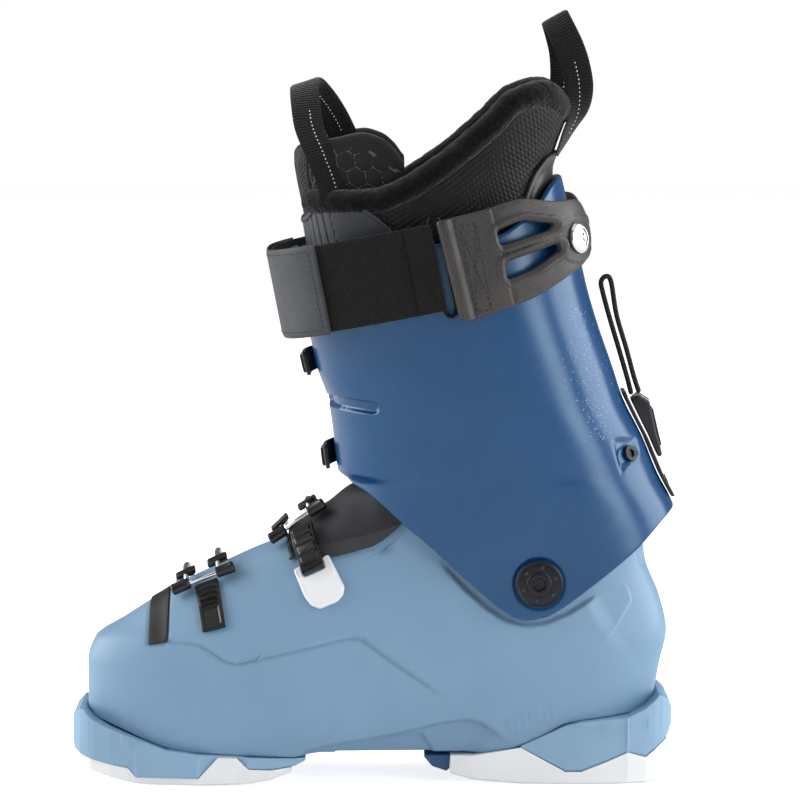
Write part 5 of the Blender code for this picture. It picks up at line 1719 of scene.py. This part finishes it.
def make_bail(m, name, wrap, hook, pivot, reach):
    """The bail: a bent wire, black hook rollers on its two ends, and the bright rod between them."""
    body = name + "_bail"
    arm = [(hook + 3.6, 5.3)] + [(angle, 6.6) for angle in np.linspace(hook + 8, pivot - 5, 6)]
    far = wrap.at(pivot, 0, PIVOT_LIFT)
    wire = [wrap.at(angle, BAIL_HALF, lift) for angle, lift in arm]
    wire += [far + wrap.axis * BAIL_HALF * s for s in (1, 0.8, 0.6, 0, -0.6, -0.8, -1)]
    wire += [wrap.at(angle, -BAIL_HALF, lift) for angle, lift in reversed(arm)]
    tube(name + "_bail_wire", wire, 1.28, m["silver"], body, [name + "_bail"], sides=14,
         per_span=5)
    for s, word in ((-1, "toe"), (1, "heel")):
        centre = wrap.at(hook, s * BAIL_HALF, HOOK_LIFT)
        outer = wrap.at(hook, s * reach, HOOK_LIFT)
        length = np.linalg.norm(outer - centre)
        low = -1.4
        profile = [(0.4, low), (2.3, low), (2.85, low + 0.5), (2.9, length - 0.9), (3.0, length - 0.6),
                   (2.85, length - 0.1), (2.2, length + 0.4), (1.2, length + 0.5), (0.4, length + 0.3)]
        turned(name + "_bail_roller_" + word, centre, outer - centre, profile, m["black"], body, [],
               sides=32)
        # Bright link from the roller to the arm, and the black bar clipped across both.
        for kind, start, stop, low, high, corner, turns, mat, slot in (
                ("link", 8.0, reach - 1.8, 4.3, 6.4, 0.7, (0.8, 1.1, 1.6, 3.0, 4.4, 5.8, 6.3, 6.6),
                 "silver", "aluminium"),
                ("bar", 3.2, reach - 2.4, 5.2, 8.2, 0.9, (6.0, 6.3, 6.8, 7.8, 8.8, 9.8, 10.3, 10.6),
                 "black", "black_moulding")):
            a, b = sorted((s * start, s * stop))
            section = rounded([(a, low), (b, low), (b, high), (a, high)], corner, steps=3)
            wrapped_solid(f"{name}_bail_{kind}_{word}", wrap, [hook + turn for turn in turns], section,
                          m[mat], body, [])
    ends = [wrap.at(hook, s * 7.4, HOOK_LIFT) for s in (-1, 1)]
    tube(name + "_rod_pin", ends, 1.2, m["chrome"], body, [name + "_rod"], sides=20, smooth=False)


def make_buckle(m, name, body, wrap, ladder, teeth, hook, pivot, lever_end, ladder_lift=0.4, base_lift=1.8,
                reach=16, middle=0.0, drift=0.0, hem=2.75):
    """One buckle: its pieces lie at angles round the wrap, from the ladder to the end of the lever."""
    make_ladder(m, name + "_ladder", body, wrap, ladder, ladder_lift, teeth, middle, drift)
    make_base(m, name + "_base", body, wrap, pivot, base_lift)
    make_lever(m, name + "_lever", wrap, pivot, lever_end, hem)
    make_bail(m, name, wrap, hook, pivot, reach)


def over(tilt):
    """The up direction and the axis of a wrap tilted by degrees from the upright towards the toe."""
    turn = math.radians(tilt)
    return (-math.sin(turn), 0, math.cos(turn)), (math.cos(turn), 0, math.sin(turn))


# The keeper's corners as (x, z) from the medial side.
KEEPER_SEEN = ((-38.7, 106.3), (-35.2, 108.4), (-33.4, 103.0), (-22.8, 107.8), (-24.7, 112.6),
               (-21.5, 114.4), (-13.7, 99.6), (-14.2, 95.3), (-17.3, 92), (-25.6, 88.6), (-30.1, 90.2),
               (-33.3, 94.2))


def make_keeper(m, wrap):
    """The white hook plate under the instep ladder, with a notch that the ladder's end sits in."""
    outline = rounded([wrap.near(x, z) for x, z in KEEPER_SEEN], 1.1)

    def height(u, v):
        return 2.7 - 0.3 * ease(inside_distance(u, v, outline), 1.4, 1.8)

    relief("instep_keeper_plate", outline, [], wrap.place, height, 0.4, 0.6, m["white"], "shell",
           ["instep_keeper"], edge=0.9)


def make_buckles(m, shell, flap, cuff):
    toe = Wrap([shell], (-74, 0, 55), *over(12))
    make_buckle(m, "toe_buckle", "shell", toe, (-59, -24), (-42, -25.5, 4), -25, 42, 96, middle=1.0)
    instep = Wrap([shell, flap], (-10, 0, 80), *over(29))
    # A narrower hem stays clear of this base, whose floor is higher.
    make_buckle(m, "instep_buckle", "shell", instep, (-47, -22), (-42, -23.5, 4), -17, 45, 98,
                ladder_lift=3.6, base_lift=2.9, middle=1.0, drift=0.18, hem=2.3)
    make_keeper(m, instep)
    front = (-math.cos(LEAN), 0, -math.sin(LEAN))
    leg = (-math.sin(LEAN), 0, math.cos(LEAN))
    for name, centre, lever_end, reach in (("lower_cuff_buckle", (50, 0, 180), 98, 16),
                                           ("upper_cuff_buckle", (38, 0, 226), 86, 12)):
        wrap = Wrap([cuff], centre, front, leg)
        make_buckle(m, name, "cuff", wrap, (-8, 16), (-2, 14, 4), 22, 58, lever_end, ladder_lift=4.0,
                    reach=reach)
    band = Wrap([shell], (-106, 0, 45), (0, 0, 1), (1, 0, 0))
    limit = 53 * band.scale
    relief("toe_band_plate", band_outline(-limit, limit, 4.8, 0.5), [], band.place,
           lambda u, v: 1.5 - 0.12 * ease(np.abs(v), 3.6, 4.2), 0.7, 0.9, m["black_matt"], "shell",
           ["toe_band"], edge=0.3)


# ---------------------------------------------------------------- fixings
def make_bolt(m, word, side):
    """A pivot bolt's head: a round flange, a raised ring and a hexagonal socket, with six dots between."""
    half = abs(cuff_point(np.array(PI / 2), np.array(PIVOT[1]))[1])
    centre = np.array([PIVOT[0], side * (half + 1.3), PIVOT[1]])
    profile = [(0.5, 0.0), (11.4, 0.0), (11.7, 0.4), (11.7, 1.7), (11.3, 2.2), (10.9, 2.3), (10.5, 2.2),
               (10.2, 1.9), (9.6, 2.0), (6.9, 2.1), (6.4, 2.1), (6.1, 2.6), (5.7, 2.8), (4.0, 2.8),
               (3.6, 2.7), (3.2, 2.0), (3.1, 1.2), (0.6, 1.1)]
    turned("pivot_bolt_head_" + word, centre, (0, side, 0), profile, m["dark_steel"], "cuff",
           ["pivot_bolt_" + word], sides=72, hexes=(14, 15, 16))
    for k in range(6):
        turn = 2 * PI * k / 6 + 0.35
        place = centre + [8.4 * math.cos(turn), side * 1.96, 8.4 * math.sin(turn)]
        turned(f"pivot_bolt_dot_{word}_{k}", place, (0, side, 0),
               [(0.1, -0.5), (0.95, -0.5), (0.95, 0.25), (0.6, 0.45), (0.1, 0.5)], m["gunmetal"], "cuff",
               [], sides=16)


SOLE_SCREW = ((0.4, 0.0), (4.3, 0.0), (4.5, 0.3), (4.5, 1.7), (4.1, 2.2), (2.6, 2.4), (2.2, 2.3),
              (2.0, 1.0), (0.4, 0.9))


def make_fixings(m, cuff):
    tree = surface_tree(cuff)
    for word, side in (("medial", -1), ("lateral", 1)):
        make_bolt(m, word, side)
        spots = [np.array(tree.ray_cast(Vector((SCREW_PLACE[0] + dx, side * 120, SCREW_PLACE[1] + dz)),
                                        Vector((0, -side, 0)))[0])
                 for dx, dz in ((0, 0), (-7, 0), (7, 0), (0, -7), (0, 7))]
        normal = np.cross(spots[2] - spots[1], spots[4] - spots[3])
        normal *= side * np.sign(normal[1]) / np.linalg.norm(normal)
        profile = [(0.4, -0.6), (4.2, -0.6), (4.2, 1.0), (3.9, 1.45), (3.2, 1.6), (2.5, 1.6), (2.2, 1.4),
                   (2.0, 0.3), (0.4, 0.2)]
        turned("cuff_screw_head_" + word, spots[0] + normal * 0.6, normal, profile, m["dark_steel"], "cuff",
               ["cuff_screw_" + word], sides=48, hexes=(6, 7))
        for end, x, low in (("toe", -132, 3.0), ("heel", 122, 2.0)):
            name = f"{end}_sole_screw_{word}"
            turned(name + "_head", (x, side * 15, low + 2.6), (0, 0, -1), SOLE_SCREW, m["chrome"], "shell",
                   [name], sides=40, hexes=(6, 7))


# ---------------------------------------------------------------- walk mechanism
LEVER_OUTLINE = ((129.1, 188.5), (134.8, 177), (138.8, 169), (142.5, 160.5), (144.8, 161), (143.8, 166),
                 (141.8, 172), (138.6, 187.5), (132.5, 191.3))
CAP_OUTLINE = ((130.6, 189.6), (132.6, 187.9), (137.6, 184.6), (139.4, 185.2), (138.9, 188.2),
               (132.8, 192.1))
RIB_OUTLINE = ((136.6, 183.0), (140.2, 184.6), (143.0, 172.5), (144.6, 166.4), (143.2, 165.0),
               (139.5, 172.0))
LEVER_CORD = ((129.4, 192.0), (127.3, 200), (123.2, 214), (118.4, 230), (114.9, 243), (114.3, 247.5),
              (116.6, 250), (119.2, 247.5), (122, 231), (127, 214), (130.8, 200), (133.2, 192.8))


def slab(name, outline, low, high, edge, mat, body, replaced=()):
    """An outline in the lengthwise plane given width across it, with rounded long edges."""
    outline = resample(outline, 0.7)
    normal = -outline_normals(outline)
    x, z = outline[:, 0], outline[:, 1]
    if np.sum(x * np.roll(z, -1) - z * np.roll(x, -1)) < 0:
        normal = -normal
    # A quarter round: (share of the edge inwards, share of it across).
    steps = [(1.0, 0.0), (0.62, 0.08), (0.29, 0.29), (0.08, 0.62), (0.0, 1.0)]
    loops = []
    for y0, sign, order in ((low, 1, steps), (high, -1, steps[::-1])):
        for inset, depth in order:
            ring = outline - normal * inset * edge
            y = np.full(len(ring), y0 + sign * depth * edge)
            loops.append(np.stack([ring[:, 0], y, ring[:, 1]], axis=1))
    return loft(name, loops, mat, body, replaced, sharp=50)


def make_cord(m):
    """The braided loop on the walk lever, out of the lever and back into it."""
    path = [(x, 0.0, z) for x, z in LEVER_CORD]
    cord = tube("lever_cord", path, 1.25, m["cord"], "walk_lever", ["lever_cord_loop"],
                sides=20)


def make_walk_mechanism(m):
    heights = (141, 146, 151, 160, 170, 180, 190, 193)
    inner = [(float(along(np.array(z), CUFF_REAR)) + 0.5, z) for z in heights]
    outer = [(x + 2.2, z) for x, z in reversed(inner)]
    slab("walk_base", rounded(inner + outer, 0.7), -13, 13, 0.6, m["black"], "cuff", ["walk_base_plate"])
    z = 147.5
    x = float(along(np.array(z), CUFF_REAR)) + 2.2
    for word, side in (("medial", -1), ("lateral", 1)):
        turned("walk_base_screw_" + word, (x, side * 8.5, z), (0.94, 0, 0.34),
               [(0.3, 0.0), (2.4, 0.0), (2.4, 0.5), (1.9, 0.8), (1.0, 0.8), (0.9, 0.4), (0.3, 0.4)],
               m["dark_steel"], "cuff", [], sides=24)
    slab("walk_lever_block", rounded(LEVER_OUTLINE, 1.0), -9.9, 9.9, 0.8, m["gunmetal"], "walk_lever",
         ["walk_lever"])
    # Chrome cap over the lever's upper edge, where the cord goes in, and two ribs down its back.
    slab("walk_lever_cap", rounded(CAP_OUTLINE, 0.6), -6.4, 6.4, 0.4, m["chrome"], "walk_lever", [])
    for word, y in (("medial", -5.4), ("lateral", 5.4)):
        slab("walk_lever_rib_" + word, rounded(RIB_OUTLINE, 0.5), y - 0.9, y + 0.9, 0.3, m["gunmetal"],
             "walk_lever", [])


# ---------------------------------------------------------------- cuff print
def make_speckle(m, cuff):
    """A loose spray of small light flecks on the cuff's near side, towards the rear."""
    tree = surface_tree(cuff)
    rng = np.random.default_rng(41)
    verts, faces = [], []
    for _ in range(520):
        share = rng.random()
        z = 172 + 66 * share
        x = 113 - 12 * share + rng.normal(0, 1.2 + 3.4 * math.sin(PI * share) + 1.5 * (1 - share))
        hit, normal, _, _ = tree.ray_cast(Vector((x, -120, z)), Vector((0, 1, 0)))
        if not hit or hit[1] > -6:
            continue
        normal = normal if normal[1] < 0 else -normal
        one = normal.cross(Vector((0, 0, 1))).normalized()
        two = normal.cross(one)
        size = 0.16 + 0.34 * rng.random() ** 2
        first = len(verts)
        for lift in (-0.15, 0.07):
            for k in range(4):
                turn = PI / 2 * k + 0.6 * rng.random()
                rim = (one * math.cos(turn) + two * math.sin(turn)) * size
                verts.append(tuple(hit + normal * lift + rim))
        faces += [(first, first + 1, first + 2, first + 3), (first + 7, first + 6, first + 5, first + 4)]
        faces += grid_faces(2, 4, whole=True, start=first)
    new_object("cuff_speckle", verts, faces, m["fleck"], "cuff", [], smooth=False)


# ---------------------------------------------------------------- the boot
add_camera()
M = make_materials()
make_cord(M)
add_light()
add_floor()
SHELL = make_lower_shell(M)
FLAP = make_instep_flap(M)
CUFF = make_cuff(M)
make_soles(M)
make_power_strap(M)
make_liner(M)
make_buckles(M, SHELL, FLAP, CUFF)
make_fixings(M, CUFF)
make_walk_mechanism(M)
make_speckle(M, CUFF)
